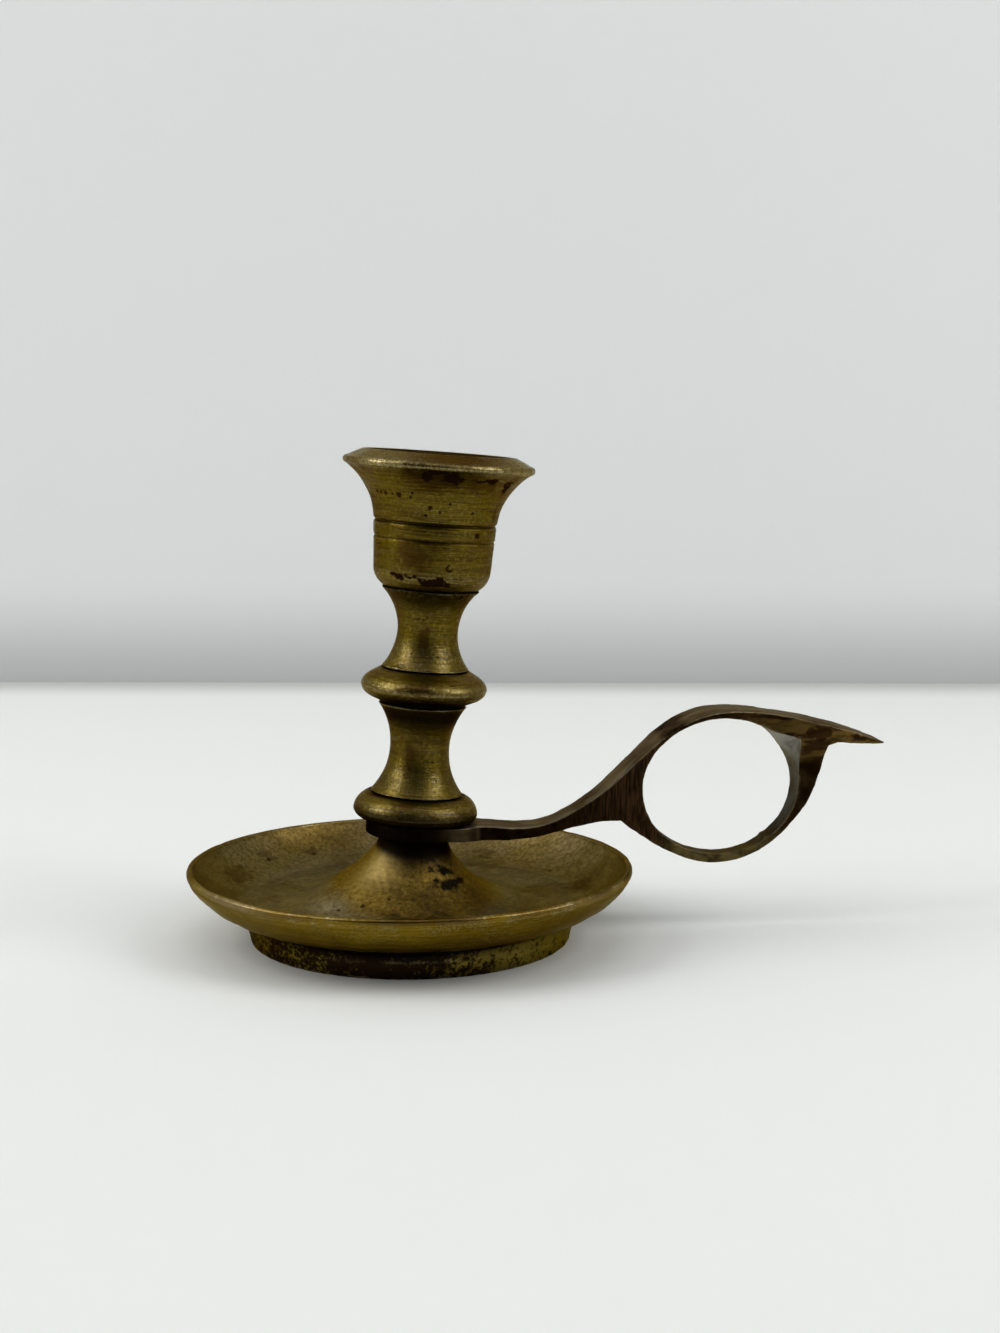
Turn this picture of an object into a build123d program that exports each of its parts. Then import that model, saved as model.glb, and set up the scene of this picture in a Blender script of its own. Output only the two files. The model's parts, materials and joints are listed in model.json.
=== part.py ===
from build123d import *
from math import cos, radians, sin
import os

os.makedirs("parts", exist_ok=True)

# A brass chamberstick: a drip pan with a hollow cone boss, a finger loop handle
# clamped on the boss, a turned stem and a flared candle cup, drawn together by
# one threaded rod with a washer and a nut under the pan.
# The origin is the centre of the foot ring on the table, and +X points along
# the handle. The stack above the boss leans a little towards the handle.

# Candle and candle cup
candle_diameter = 22.0
candle_play = 0.2
socket_depth = 23.8
cup_wall = 1.8
cup_height = 29.8
cup_seat_radius = 10.9
cup_corner_height = 4.2
band_height = 14.5
band_swell = 0.65
flare_radius = 18.35
rim_radius = 21.3
rim_height = 26.9
rim_edge = 1.1
rim_crown = 0.37
mouth_radius = 16.2
mouth_depth = 5.0
mouth_land = 0.75
groove_pitch = 3.5
groove_radius = 0.3
spigot_radius = 4.2
spigot_length = 5.0
spigot_play = 0.15

# Stem
stem_height = 52.2
collar_foot_radius = 11.0
collar_radius = 13.95
collar_height = 6.2
lower_lip_radius = 10.3
lower_waist_radius = 6.62
upper_lip_radius = 9.85
lower_baluster_height = 20.0
knop_radius = 14.05
knop_height = 7.6
knop_neck_radius = 10.0
upper_foot_radius = 9.7
upper_waist_radius = 6.75
stem_top_radius = 10.85
quirk_depth = 0.5
quirk_height = 0.3

# Threaded rod, washer and nut
rod_diameter = 5.0
thread_play = 0.05
rod_play = 0.25
rod_chamfer = 0.5
rod_tail = 1.5
rod_grip = 7.8
tapped_depth = 8.6
washer_diameter = 10.0
washer_thickness = 1.0
nut_flats = 8.0
nut_thickness = 4.0
nut_chamfer = 0.45

# Drip pan
pan_radius = 50.0
pan_height = 16.6
pan_wall = 2.0
lip_height = 1.6
lip_thickness = 1.5
lip_groove_radius = 0.35
floor_height = 8.5
floor_thickness = 2.2
foot_top_radius = 37.2
foot_taper = 1.3
foot_height = 6.3
foot_wall = 2.6
foot_line_height = 3.6
foot_line_radius = 0.22
cone_clearing = 11.2
cone_top_radius = 7.45
cone_wall = 2.3
boss_thickness = 3.0
boss_play = 0.4
seat_stock = 0.9

# Lean of the stack
lean_angle = 4.13
lean_height = 12.4
seat_rise = 11.05

# Finger loop handle
eye_radius = 10.9
eye_thickness = 3.4
arm_width = 9.4
arm_root = 15.5
shoulder_radius = 2.5
handle_reach = 109.4
handle_low = 25.0
handle_rise = 25.9
handle_width = 13.4
finger_hole_length = 36.2
finger_hole_height = 31.8
loop_wall = 1.7
strand_width = 4.6
rest_reach = 39.1
rest_drop = 8.5
tip_thickness = 0.5

# Cutters run this far past what they cut
overrun = 1.0

# Worked out from the sizes above
socket_radius = candle_diameter / 2 + candle_play
cup_radius = socket_radius + cup_wall
rod_radius = rod_diameter / 2
tapped_radius = rod_radius + thread_play
clearance_radius = rod_radius + rod_play
washer_radius = washer_diameter / 2
lean = radians(lean_angle)
knop_base = collar_height + lower_baluster_height
knop_top = knop_base + quirk_height + knop_height

# The leaning stack: its axis crosses the pan's axis at the lean height
stack_normal = (sin(lean), 0, cos(lean))
stack_across = (cos(lean), 0, -sin(lean))
seat_place = (seat_rise * sin(lean), 0, lean_height + seat_rise * cos(lean))
seat = Plane(origin=seat_place, x_dir=stack_across, z_dir=stack_normal)
stem_seat = seat.offset(eye_thickness)
cup_seat = stem_seat.offset(stem_height)
boss_under = seat.offset(-boss_thickness)
nut_seat = boss_under.offset(-washer_thickness)
nut_under = nut_seat.offset(-nut_thickness)
stack_axis = Axis(seat_place, stack_normal)


def turning_plane(base):
    """The plane through the stack's axis: x is the radius, y runs up the axis."""
    return Plane(origin=base.origin, x_dir=base.x_dir, z_dir=-base.y_dir)


# Drip pan: dish, hollow cone boss and foot ring, one casting
cone_top_height = seat_place[2] + seat_stock
cone_pull_share = 0.055
cone_drop_share = 0.57
cone_spread_share = 0.8
foot_radius = foot_top_radius - foot_taper
cone_foot_radius = foot_top_radius - cone_clearing
lip_bottom = pan_height - lip_height
inner_radius = pan_radius - pan_wall
hollow_radius = foot_radius - foot_wall
wall_bow_share = (0.62, 0.40)
inner_bow_share = (0.60, 0.30)
pocket_radius = washer_radius + boss_play
pocket_height = boss_under.origin.Z - washer_thickness
floor_under = floor_height - floor_thickness
foot_line_share = foot_line_height / foot_height
foot_line_reach = foot_radius + (foot_top_radius - foot_radius) * foot_line_share


def cone_curve(top_radius, top_height, foot_radius, base):
    """The four control points of a cone that flares out into a floor."""
    spread = foot_radius - top_radius
    drop = top_height - base
    return (
        (top_radius, top_height),
        (top_radius + spread * cone_pull_share, top_height - drop * cone_drop_share),
        (top_radius + spread * cone_spread_share, base),
        (foot_radius, base),
    )


with BuildPart() as drip_pan:
    with BuildSketch(Plane.XZ):
        with BuildLine():
            cone = Bezier(*cone_curve(cone_top_radius, cone_top_height, cone_foot_radius, floor_height))
            floor_edge = (foot_top_radius, floor_height)
            Line(cone @ 1, floor_edge)
            inner_top = (pan_radius - lip_thickness, pan_height - lip_thickness / 2)
            inner_bow = (
                foot_top_radius + (inner_radius - foot_top_radius) * inner_bow_share[0],
                floor_height + (pan_height - floor_height) * inner_bow_share[1],
            )
            inner = ThreePointArc(floor_edge, inner_bow, inner_top)
            crest = ThreePointArc(
                inner @ 1,
                (pan_radius - lip_thickness / 2, pan_height),
                (pan_radius, pan_height - lip_thickness / 2),
            )
            lip = Line(crest @ 1, (pan_radius, lip_bottom))
            outer_bow = (
                foot_top_radius + (pan_radius - foot_top_radius) * wall_bow_share[0],
                foot_height + (lip_bottom - foot_height) * wall_bow_share[1],
            )
            wall = ThreePointArc(lip @ 1, outer_bow, (foot_top_radius, foot_height))
            foot_side = Line(wall @ 1, (foot_radius, 0))
            foot_rest = Line(foot_side @ 1, (hollow_radius, 0))
            foot_inside = Line(foot_rest @ 1, (hollow_radius, floor_under))
            hollow_foot = cone_foot_radius - cone_wall
            Line(foot_inside @ 1, (hollow_foot, floor_under))
            under_cone = Bezier(
                *reversed(cone_curve(pocket_radius, pocket_height, hollow_foot, floor_under))
            )
            pocket_roof = Line(under_cone @ 1, (0, pocket_height))
            core = Line(pocket_roof @ 1, (0, cone_top_height))
            Line(core @ 1, cone @ 0)
        make_face()
    revolve(axis=Axis.Z)
    with BuildSketch(seat):
        Circle(cone_foot_radius)
    extrude(amount=cone_top_height, mode=Mode.SUBTRACT)
    with BuildSketch(boss_under):
        Circle(pocket_radius)
    extrude(amount=-(washer_thickness + overrun), mode=Mode.SUBTRACT)
    with BuildSketch(seat.offset(overrun)):
        Circle(clearance_radius)
    extrude(amount=-(boss_thickness + overrun * 2), mode=Mode.SUBTRACT)
    with BuildSketch(Plane.XZ):
        with Locations((pan_radius, lip_bottom)):
            Circle(lip_groove_radius)
        with Locations((foot_line_reach, foot_line_height)):
            Circle(foot_line_radius)
    revolve(axis=Axis.Z, mode=Mode.SUBTRACT)
drip_pan.part.label = "drip_pan"
export_step(drip_pan.part, "parts/drip_pan.step")


# Finger loop handle: the arm runs from the eye to the finger hole, the loop
# goes round the hole, and the thumb rest runs from above the hole to the tip
crest_height = handle_low + handle_rise
hole_reach = handle_reach - rest_reach
hole_centre = crest_height - loop_wall - finger_hole_height / 2
hole_near = hole_reach - finger_hole_length / 2
blank_height = crest_height + overrun

# Arm: (along the arm, up its rise)
arm_top_shares = ((0.230, 0.004), (0.451, 0.046), (0.669, 0.203), (0.886, 0.462))
arm_under_shares = ((0.785, 0.042), (0.666, 0.010), (0.487, -0.045), (0.338, -0.095), (0.174, -0.106))
# Loop: (turn round the hole from the far side over the top, share of the wall)
crest_shares = ((0.407, 0.83), (0.331, 0.56), (0.240, 1.02))
strand_shares = (
    (0.5531, 3.70), (0.592, 2.25), (0.638, 1.41), (0.694, 1.04), (0.743, 0.98), (0.797, 0.88),
    (0.865, 0.66), (0.942, 0.95), (1.000, 2.18), (1.051, 4.10),
)
# Thumb rest: (along it from the hole's centre, down from the crest)
rest_top_shares = ((0.351, 0.159), (0.659, 0.502), (1.000, 1.000))
rest_under_shares = ((0.678, 0.920), (0.642, 0.908))
rest_middle_shares = ((0.625, 0.776),)
# Inside the loop: (across, up), in half sizes of the finger hole
hole_top_shares = ((0.76, 0.60), (-0.79, 0.00))
hole_side_shares = ((0.86, 0.66), (-0.79, 0.03), (-1.14, -0.31))
# Half widths, each along its own stretch
arm_width_shares = (
    (-0.041, 0.70), (0.123, 0.68), (0.382, 0.54), (0.561, 0.54), (0.777, 0.65), (0.995, 0.83),
)
loop_width_shares = ((-0.572, 0.97), (-0.239, 0.96), (0.425, 0.89))
rest_width_shares = ((0.504, 1.00), (0.657, 0.95), (0.811, 0.73), (0.931, 0.36), (1.000, 0.02))
strand_width_shares = (
    (-1.400, 2.00), (-1.120, 1.95), (-0.898, 1.65), (-0.681, 1.30), (-0.348, 1.05), (-0.017, 0.96),
    (0.425, 1.04), (0.757, 1.34), (1.088, 1.80), (1.362, 2.10),
)


def arm_reach(along):
    """A distance along the handle, from a share of the arm's length."""
    return arm_root + (hole_near - arm_root) * along


def loop_reach(across):
    """A distance along the handle, from a share of the finger hole's half length."""
    return hole_reach + finger_hole_length / 2 * across


def rest_along(along):
    """A distance along the handle, from a share of the thumb rest's reach."""
    return hole_reach + rest_reach * along


def arm_places(shares):
    """Places on the arm's side view."""
    return [(arm_reach(along), handle_low + handle_rise * up) for along, up in shares]


def loop_places(shares):
    """Places round the finger hole, each a share of the wall outside it."""
    return [
        (
            hole_reach + (finger_hole_length / 2 + loop_wall * wall) * cos(radians(360 * turn)),
            hole_centre + (finger_hole_height / 2 + loop_wall * wall) * sin(radians(360 * turn)),
        )
        for turn, wall in shares
    ]


def rest_places(shares):
    """Places on the thumb rest's side view."""
    return [(rest_along(along), crest_height - rest_drop * down) for along, down in shares]


def hole_places(shares):
    """Places in half sizes of the finger hole from its centre."""
    return [(loop_reach(across), hole_centre + finger_hole_height / 2 * up) for across, up in shares]


def width_places(reach, shares, width):
    """Places on one side of the handle's plan view."""
    return [(reach(along), width / 2 * across) for along, across in shares]


def eye_edge(level, reach):
    """A point of the side view on a plane of the leaning stack."""
    rise = level.origin.Z - (reach - level.origin.X) * sin(lean) / cos(lean)
    return (reach, rise)


def plan_blank(places):
    """The plan outline of a bar, symmetric about the handle's middle plane."""
    with BuildSketch(Plane.XY) as blank:
        with BuildLine():
            side = Spline(*places)
            mirror(side, about=Plane.XZ)
            Line(side @ 0, Vector((side @ 0).X, -(side @ 0).Y))
            Line(side @ 1, Vector((side @ 1).X, -(side @ 1).Y))
        make_face()
    return blank.sketch


bar_plan = plan_blank(
    width_places(arm_reach, arm_width_shares, handle_width)
    + width_places(loop_reach, loop_width_shares, handle_width)
    + width_places(rest_along, rest_width_shares, handle_width)
)
strand_plan = plan_blank(width_places(loop_reach, strand_width_shares, strand_width))
crotch = loop_places(strand_shares[:1])

with BuildPart() as loop_strand:
    with BuildSketch(Plane.XZ):
        with BuildLine():
            outer = Spline(*loop_places(strand_shares))
            Polyline(outer @ 1, *rest_places(rest_middle_shares), *hole_places(hole_side_shares), outer @ 0)
        make_face()
    extrude(amount=handle_width / 2, both=True)
    extrude(strand_plan, amount=blank_height, mode=Mode.INTERSECT)

with BuildPart() as finger_loop_handle:
    with BuildSketch(Plane.XZ):
        with BuildLine():
            root_top = Line(eye_edge(stem_seat, eye_radius / 2), eye_edge(stem_seat, arm_root))
            crest_line = Spline(
                root_top @ 1,
                *arm_places(arm_top_shares),
                *loop_places(crest_shares),
                *rest_places(rest_top_shares),
            )
            tip = Line(crest_line @ 1, (crest_line @ 1) - Vector(0, tip_thickness))
            Polyline(tip @ 1, *rest_places(rest_under_shares), *hole_places(hole_top_shares), *crotch)
            arm_under = Spline(*crotch, *arm_places(arm_under_shares), eye_edge(seat, arm_root))
            root_under = Line(arm_under @ 1, eye_edge(seat, eye_radius / 2))
            Line(root_under @ 1, root_top @ 0)
        make_face()
    extrude(amount=handle_width / 2, both=True)
    extrude(bar_plan, amount=blank_height, mode=Mode.INTERSECT)
    add(loop_strand.part)
    with BuildSketch(Plane.XZ):
        with Locations((hole_reach, hole_centre)):
            Ellipse(finger_hole_length / 2, finger_hole_height / 2)
    extrude(amount=handle_width, both=True, mode=Mode.SUBTRACT)
    with BuildSketch(seat) as eye:
        Circle(eye_radius)
        Rectangle(arm_root, arm_width, align=(Align.MIN, Align.CENTER))
        inner_corners = eye.vertices().group_by(Axis.X)[-2]
        fillet(inner_corners, radius=shoulder_radius)
        Circle(clearance_radius, mode=Mode.SUBTRACT)
    extrude(amount=eye_thickness)
finger_loop_handle.part.label = "finger_loop_handle"
export_step(finger_loop_handle.part, "parts/finger_loop_handle.step")


# Stem: collar, lower baluster, knop and upper baluster, turned from one bar
collar_belly_share = 0.3
collar_brow_share = (0.69, 0.71)
knop_side_shares = ((0.62, 0.19), (1.0, 0.48), (0.73, 0.73))
waist_share = 0.53
upper_waist_share = 0.44
upper_base = knop_top + quirk_height
upper_height = stem_height - upper_base
knop_swell = knop_radius - knop_neck_radius
knop_start = knop_base + quirk_height

with BuildPart() as stem:
    with BuildSketch(turning_plane(stem_seat)):
        with BuildLine():
            belly = (collar_radius, collar_height * collar_belly_share)
            under = TangentArc((collar_foot_radius, 0), belly, tangent=(1, 0))
            collar_neck = (lower_lip_radius + quirk_depth, collar_height - quirk_height)
            collar_brow = (
                collar_neck[0] + (collar_radius - collar_neck[0]) * collar_brow_share[0],
                collar_height * collar_brow_share[1],
            )
            brow = ThreePointArc(belly, collar_brow, collar_neck)
            quirk = Line(brow @ 1, (lower_lip_radius - quirk_depth, collar_height - quirk_height))
            lip = Line(quirk @ 1, (lower_lip_radius, collar_height))
            baluster = ThreePointArc(
                lip @ 1,
                (lower_waist_radius, collar_height + lower_baluster_height * waist_share),
                (upper_lip_radius, knop_base),
            )
            step = Polyline(
                baluster @ 1,
                (upper_lip_radius - quirk_depth, knop_base),
                (upper_lip_radius - quirk_depth, knop_start),
                (knop_neck_radius, knop_start),
            )
            knop = Spline(
                step @ 1,
                *((knop_neck_radius + knop_swell * out, knop_start + knop_height * up)
                  for out, up in knop_side_shares),
                (knop_neck_radius, knop_top),
            )
            seam = Polyline(
                knop @ 1,
                (upper_foot_radius - quirk_depth, knop_top),
                (upper_foot_radius - quirk_depth, upper_base - quirk_height / 2),
                (upper_foot_radius, upper_base),
            )
            neck = ThreePointArc(
                seam @ 1,
                (upper_waist_radius, upper_base + upper_height * upper_waist_share),
                (stem_top_radius, stem_height),
            )
            Polyline(neck @ 1, (0, stem_height), (0, 0), under @ 0)
        make_face()
    revolve(axis=stack_axis)
    with BuildSketch(stem_seat.offset(-overrun)):
        Circle(clearance_radius)
    extrude(amount=stem_height + overrun * 2, mode=Mode.SUBTRACT)
    with BuildSketch(cup_seat.offset(overrun)):
        Circle(spigot_radius + spigot_play)
    extrude(amount=-(spigot_length + spigot_play + overrun), mode=Mode.SUBTRACT)
stem.part.label = "stem"
export_step(stem.part, "parts/stem.step")


# Candle cup: flared socket with two turned lines and a spigot into the stem
corner_bow_share = (0.72, 0.48)
mouth_bow_share = (0.28, 0.54)
band_radius = cup_radius + band_swell

with BuildPart() as candle_cup:
    with BuildSketch(turning_plane(cup_seat)):
        with BuildLine():
            corner_bow = (
                cup_seat_radius + (cup_radius - cup_seat_radius) * corner_bow_share[0],
                cup_corner_height * corner_bow_share[1],
            )
            corner = ThreePointArc((cup_seat_radius, 0), corner_bow, (cup_radius, cup_corner_height))
            body = Line(corner @ 1, (band_radius, band_height))
            rim_inner = rim_radius - rim_crown
            flare = RadiusArc(body @ 1, (rim_inner, rim_height - rim_edge / 2), flare_radius)
            edge = ThreePointArc(
                flare @ 1,
                (rim_radius, rim_height),
                (rim_inner, rim_height + rim_edge / 2),
            )
            bevel = Line(edge @ 1, (mouth_radius + mouth_land, cup_height))
            land = Line(bevel @ 1, (mouth_radius, cup_height))
            mouth = ThreePointArc(
                land @ 1,
                (
                    socket_radius + (mouth_radius - socket_radius) * mouth_bow_share[0],
                    cup_height - mouth_depth * mouth_bow_share[1],
                ),
                (socket_radius, cup_height - mouth_depth),
            )
            bore = Line(mouth @ 1, (socket_radius, cup_height - socket_depth))
            Polyline(bore @ 1, (0, cup_height - socket_depth), (0, -spigot_length),
                     (spigot_radius, -spigot_length), (spigot_radius, 0), corner @ 0)
        make_face()
    revolve(axis=stack_axis)
    with BuildSketch(cup_seat.offset(-spigot_length - overrun)):
        Circle(tapped_radius)
    extrude(amount=tapped_depth + overrun, mode=Mode.SUBTRACT)
    with BuildSketch(turning_plane(cup_seat)):
        for drop in (0, groove_pitch):
            swell_share = (band_height - drop - cup_corner_height) / (band_height - cup_corner_height)
            with Locations((cup_radius + band_swell * swell_share, band_height - drop)):
                Circle(groove_radius)
    revolve(axis=stack_axis, mode=Mode.SUBTRACT)
candle_cup.part.label = "candle_cup"
export_step(candle_cup.part, "parts/candle_cup.step")


# Threaded rod from below the nut up into the candle cup
rod_below = boss_thickness + washer_thickness + nut_thickness + rod_tail
rod_above = eye_thickness + stem_height - spigot_length + rod_grip

with BuildPart() as tie_rod:
    with BuildSketch(seat.offset(-rod_below)):
        Circle(rod_radius)
    extrude(amount=rod_below + rod_above)
    chamfer(tie_rod.edges().filter_by(GeomType.CIRCLE), length=rod_chamfer)
tie_rod.part.label = "tie_rod"
export_step(tie_rod.part, "parts/tie_rod.step")

with BuildPart() as washer:
    with BuildSketch(nut_seat):
        Circle(washer_radius)
        Circle(clearance_radius, mode=Mode.SUBTRACT)
    extrude(amount=washer_thickness)
washer.part.label = "washer"
export_step(washer.part, "parts/washer.step")

with BuildPart() as nut:
    with BuildSketch(nut_under):
        RegularPolygon(nut_flats / 2, side_count=6, major_radius=False)
    extrude(amount=nut_thickness)
    with BuildSketch(turning_plane(nut_under)):
        with BuildLine():
            Polyline(
                (0, 0), (nut_flats / 2, 0), (nut_flats / 2 + nut_chamfer * 2, nut_chamfer),
                (nut_flats / 2 + nut_chamfer * 2, nut_thickness), (0, nut_thickness), (0, 0),
            )
        make_face()
    revolve(axis=stack_axis, mode=Mode.INTERSECT)
    with BuildSketch(nut_under.offset(-overrun)):
        Circle(tapped_radius)
    extrude(amount=nut_thickness + overrun * 2, mode=Mode.SUBTRACT)
nut.part.label = "nut"
export_step(nut.part, "parts/nut.step")
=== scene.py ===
import json
from math import atan2, cos, pi, radians, sin

import bpy
import numpy as np
from mathutils import Matrix, Vector


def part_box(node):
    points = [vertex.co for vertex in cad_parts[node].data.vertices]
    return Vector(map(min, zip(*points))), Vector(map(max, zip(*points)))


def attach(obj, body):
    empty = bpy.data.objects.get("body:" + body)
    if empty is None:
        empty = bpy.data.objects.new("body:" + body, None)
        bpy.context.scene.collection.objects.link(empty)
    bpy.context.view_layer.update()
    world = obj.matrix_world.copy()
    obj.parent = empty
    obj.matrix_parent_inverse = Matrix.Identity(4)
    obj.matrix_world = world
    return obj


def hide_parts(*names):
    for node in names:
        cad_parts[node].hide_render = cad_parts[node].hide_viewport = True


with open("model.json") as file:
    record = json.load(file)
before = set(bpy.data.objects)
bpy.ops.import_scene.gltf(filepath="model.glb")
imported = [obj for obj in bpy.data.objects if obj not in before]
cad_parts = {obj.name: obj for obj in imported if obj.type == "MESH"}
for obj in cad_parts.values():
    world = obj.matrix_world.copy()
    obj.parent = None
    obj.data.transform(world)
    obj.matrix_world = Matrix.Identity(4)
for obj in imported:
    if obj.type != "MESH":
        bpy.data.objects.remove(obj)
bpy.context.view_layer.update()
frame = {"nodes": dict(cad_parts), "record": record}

# The looks of a brass chamberstick. Pan, stem and candle cup are surfaces turned
# about their axes. The finger loop handle is a sheet of cells over its side view,
# given its half width, and joined to a flat eye. Every piece has a procedural
# finish. Shapes are worked out in millimetres and put into the meshes in metres.

MM = 0.001
pan_box, handle_box = (np.array(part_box(node)) / MM for node in ("drip_pan", "finger_loop_handle"))

# The stack leans: its axis is the candle socket's, and crosses the pan's axis low down
socket = next(m for m in frame["record"]["mounts"] if m["name"] == "candle_socket")
STACK_UP = np.array(socket["axis"]) / np.linalg.norm(socket["axis"])
STACK_ACROSS = np.array([STACK_UP[2], 0.0, -STACK_UP[0]])
SIDE = np.array([0.0, 1.0, 0.0])
socket_place = np.array(socket["pos_m"]) / MM
CROSSING = socket_place - STACK_UP * socket_place[0] / STACK_UP[0]

# Heights up the stack's axis from the crossing
EYE_SEAT = 11.05
EYE_THICKNESS = 3.4
STEM_SEAT = EYE_SEAT + EYE_THICKNESS
STEM_HEIGHT = 52.2
CUP_SEAT = STEM_SEAT + STEM_HEIGHT

# Radii of the bores round the rod, and of the cup's spigot
BORE_RADIUS = 2.75
TAPPED_RADIUS = 2.55
SPIGOT_RADIUS = 4.2
SPIGOT_LENGTH = 5.0
SPIGOT_PLAY = 0.15


# Outlines: runs of (radius, height) points in a turned piece's section

FINE_STEP = 0.04


def straight(*corners):
    """Corner points as they are."""
    return np.array(corners, float)


def arc(start, middle, end, steps=48):
    """Circle through three points: centre + radius (cos turn, sin turn), from start to end."""
    (ax, ay), (bx, by), (cx, cy) = start, middle, end
    double = 2 * (ax * (by - cy) + bx * (cy - ay) + cx * (ay - by))
    squares = np.array([ax * ax + ay * ay, bx * bx + by * by, cx * cx + cy * cy])
    centre = np.array([
        squares @ [by - cy, cy - ay, ay - by],
        squares @ [cx - bx, ax - cx, bx - ax],
    ]) / double
    turns = np.unwrap([atan2(y - centre[1], x - centre[0]) for x, y in (start, middle, end)])
    turn = np.linspace(turns[0], turns[-1], steps)
    return centre + np.hypot(*(start - centre)) * np.stack([np.cos(turn), np.sin(turn)], 1)


def bezier(points, steps=60):
    """Cubic curve from four control points."""
    t = np.linspace(0, 1, steps)[:, None]
    a, b, c, d = np.array(points, float)
    return (1 - t) ** 3 * a + 3 * (1 - t) ** 2 * t * b + 3 * (1 - t) * t * t * c + t ** 3 * d


def lengths(points):
    """Distance along a run at each of its points."""
    return np.r_[0, np.cumsum(np.linalg.norm(np.diff(points, axis=0), axis=1))]


def through(points, steps):
    """Smooth curve through points: cubic pieces whose slope at a point joins its two neighbours."""
    points = np.array(points, float)
    chord = lengths(points)
    slope = np.gradient(points, chord, axis=0)
    at = np.linspace(0, chord[-1], steps)
    i = np.clip(np.searchsorted(chord, at) - 1, 0, len(points) - 2)
    gap = (chord[i + 1] - chord[i])[:, None]
    t = (at[:, None] - chord[i][:, None]) / gap
    return (
        (2 * t ** 3 - 3 * t ** 2 + 1) * points[i] + (t ** 3 - 2 * t ** 2 + t) * gap * slope[i]
        + (3 * t ** 2 - 2 * t ** 3) * points[i + 1] + (t ** 3 - t ** 2) * gap * slope[i + 1]
    )


def even(points, step, closed):
    """The same run with its points at even steps."""
    if closed:
        points = np.vstack([points, points[:1]])
    points = points[np.r_[True, np.diff(lengths(points)) > 1e-6]]
    along = lengths(points)
    at = np.linspace(0, along[-1], max(int(along[-1] / step), 8), endpoint=not closed)
    return np.stack([np.interp(at, along, line) for line in points.T], 1)


def running_mean(values, width, closed):
    """Gaussian average over a number of samples, along the first axis."""
    reach = int(3 * width) + 1
    weights = np.exp(-0.5 * (np.arange(-reach, reach + 1) / width) ** 2)
    weights /= weights.sum()
    margins = [(reach, reach)] + [(0, 0)] * (values.ndim - 1)
    padded = np.pad(values, margins, mode="wrap" if closed else "edge")
    return sum(w * padded[k:k + len(values)] for k, w in enumerate(weights))


def outline(runs, rows, softness, closed=True, plain=lambda r, h: 0 * r):
    """
    Joins runs into one section, softens its corners with a running mean, and
    picks rows from it, closer together where it turns and sparser where plain
    says so. Returns the points, the distance along, the outward normals and
    how sharply the section turns, in turns per millimetre.
    """
    points = even(np.vstack(runs), FINE_STEP, closed)
    ends = points[[0, -1]].copy()
    points = running_mean(points, softness / FINE_STEP, closed)
    if not closed:
        points[[0, -1]] = ends
        points[:, 0] = np.maximum(points[:, 0], 0)
        points[[0, -1], 0] = 0
    wrap = np.pad(points, ((1, 1), (0, 0)), mode="wrap" if closed else "edge")
    tangent = wrap[2:] - wrap[:-2]
    tangent /= np.linalg.norm(tangent, axis=1)[:, None]
    turn = np.unwrap(np.arctan2(tangent[:, 1], tangent[:, 0]))
    bend = running_mean(np.gradient(turn) / FINE_STEP, 1.5, False)
    density = (1 + 2.2 * np.sqrt(np.minimum(np.abs(bend), 4))) * (1 - 0.85 * plain(*points.T))
    progress = np.cumsum(running_mean(density, 6, closed))
    progress = (progress - progress[0]) / (progress[-1] - progress[0])
    places = np.arange(len(points))
    at = np.interp(np.linspace(0, 1, rows, endpoint=not closed), progress, places)
    outward = np.stack([tangent[:, 1], -tangent[:, 0]])
    picked, normal = (
        np.stack([np.interp(at, places, line) for line in lines]) for lines in (points.T, outward)
    )
    normal /= np.linalg.norm(normal, axis=0)
    return picked.T, at * FINE_STEP, normal.T, np.interp(at, places, bend)


# Fields over a surface

def ripple(points, wavelength, seed, waves=20):
    """A smooth random field: the sum of cosines along random directions, scaled to about one."""
    chance = np.random.default_rng(seed)
    ways = chance.normal(size=(waves, 3))
    reach = wavelength * chance.uniform(0.6, 1.7, waves)
    ways /= (np.linalg.norm(ways, axis=1) * reach)[:, None]
    phase = chance.uniform(0, 2 * pi, waves)
    return np.cos(2 * pi * points @ ways.T + phase).sum(-1) * np.sqrt(2 / waves)


def step_up(low, high, value):
    """0 below low, 1 above high, and a smooth step between."""
    t = np.clip((value - low) / (high - low), 0, 1)
    return t * t * (3 - 2 * t)


def bump_at(value, middle, width):
    """Gaussian bump: exp(-((value - middle) / width) squared)."""
    return np.exp(-((value - middle) / width) ** 2)


def apart(angle, degree):
    """Signed angle from a direction given in degrees, in radians."""
    return (angle - radians(degree) + pi) % (2 * pi) - pi


def facing(angle, *places):
    """
    The sum of strength exp(-(angle off / half width) squared) over places, each
    a direction in degrees, a half width in radians and a strength.
    """
    return sum(much * bump_at(apart(angle, where), 0, wide) for where, wide, much in places)


def marks(angle, radius, height, spots):
    """
    The highest of a set of oval spots on a turned face, each 1 in its middle
    and 0 at its edge: 1 - sqrt((arc / half width)^2 + (rise / half height)^2).
    """
    return np.maximum.reduce([
        1 - np.hypot(apart(angle, where) * radius / wide, (height - at) / tall)
        for where, at, wide, tall in spots
    ])


def turning_wave(local, along, pitch, wander, drift=2.0):
    """The lathe's fine wave, 0.012 sin(2 pi along / pitch + drift * ripple), in millimetres."""
    return 0.012 * np.sin(2 * pi * along / pitch + drift * ripple(local, *wander))


def edge_fields(bend, xyz, seed):
    """How worn the outer edges are, and how grimy the inner corners, both from how the section turns."""
    wear = step_up(0.25, 2.2, bend) * np.clip(0.75 + 0.35 * ripple(xyz, 3.5, seed), 0, 1)
    grime = step_up(0.15, 1.6, -running_mean(bend, 3, False))
    return {"wear": wear, "grime": grime}


# Meshes

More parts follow.
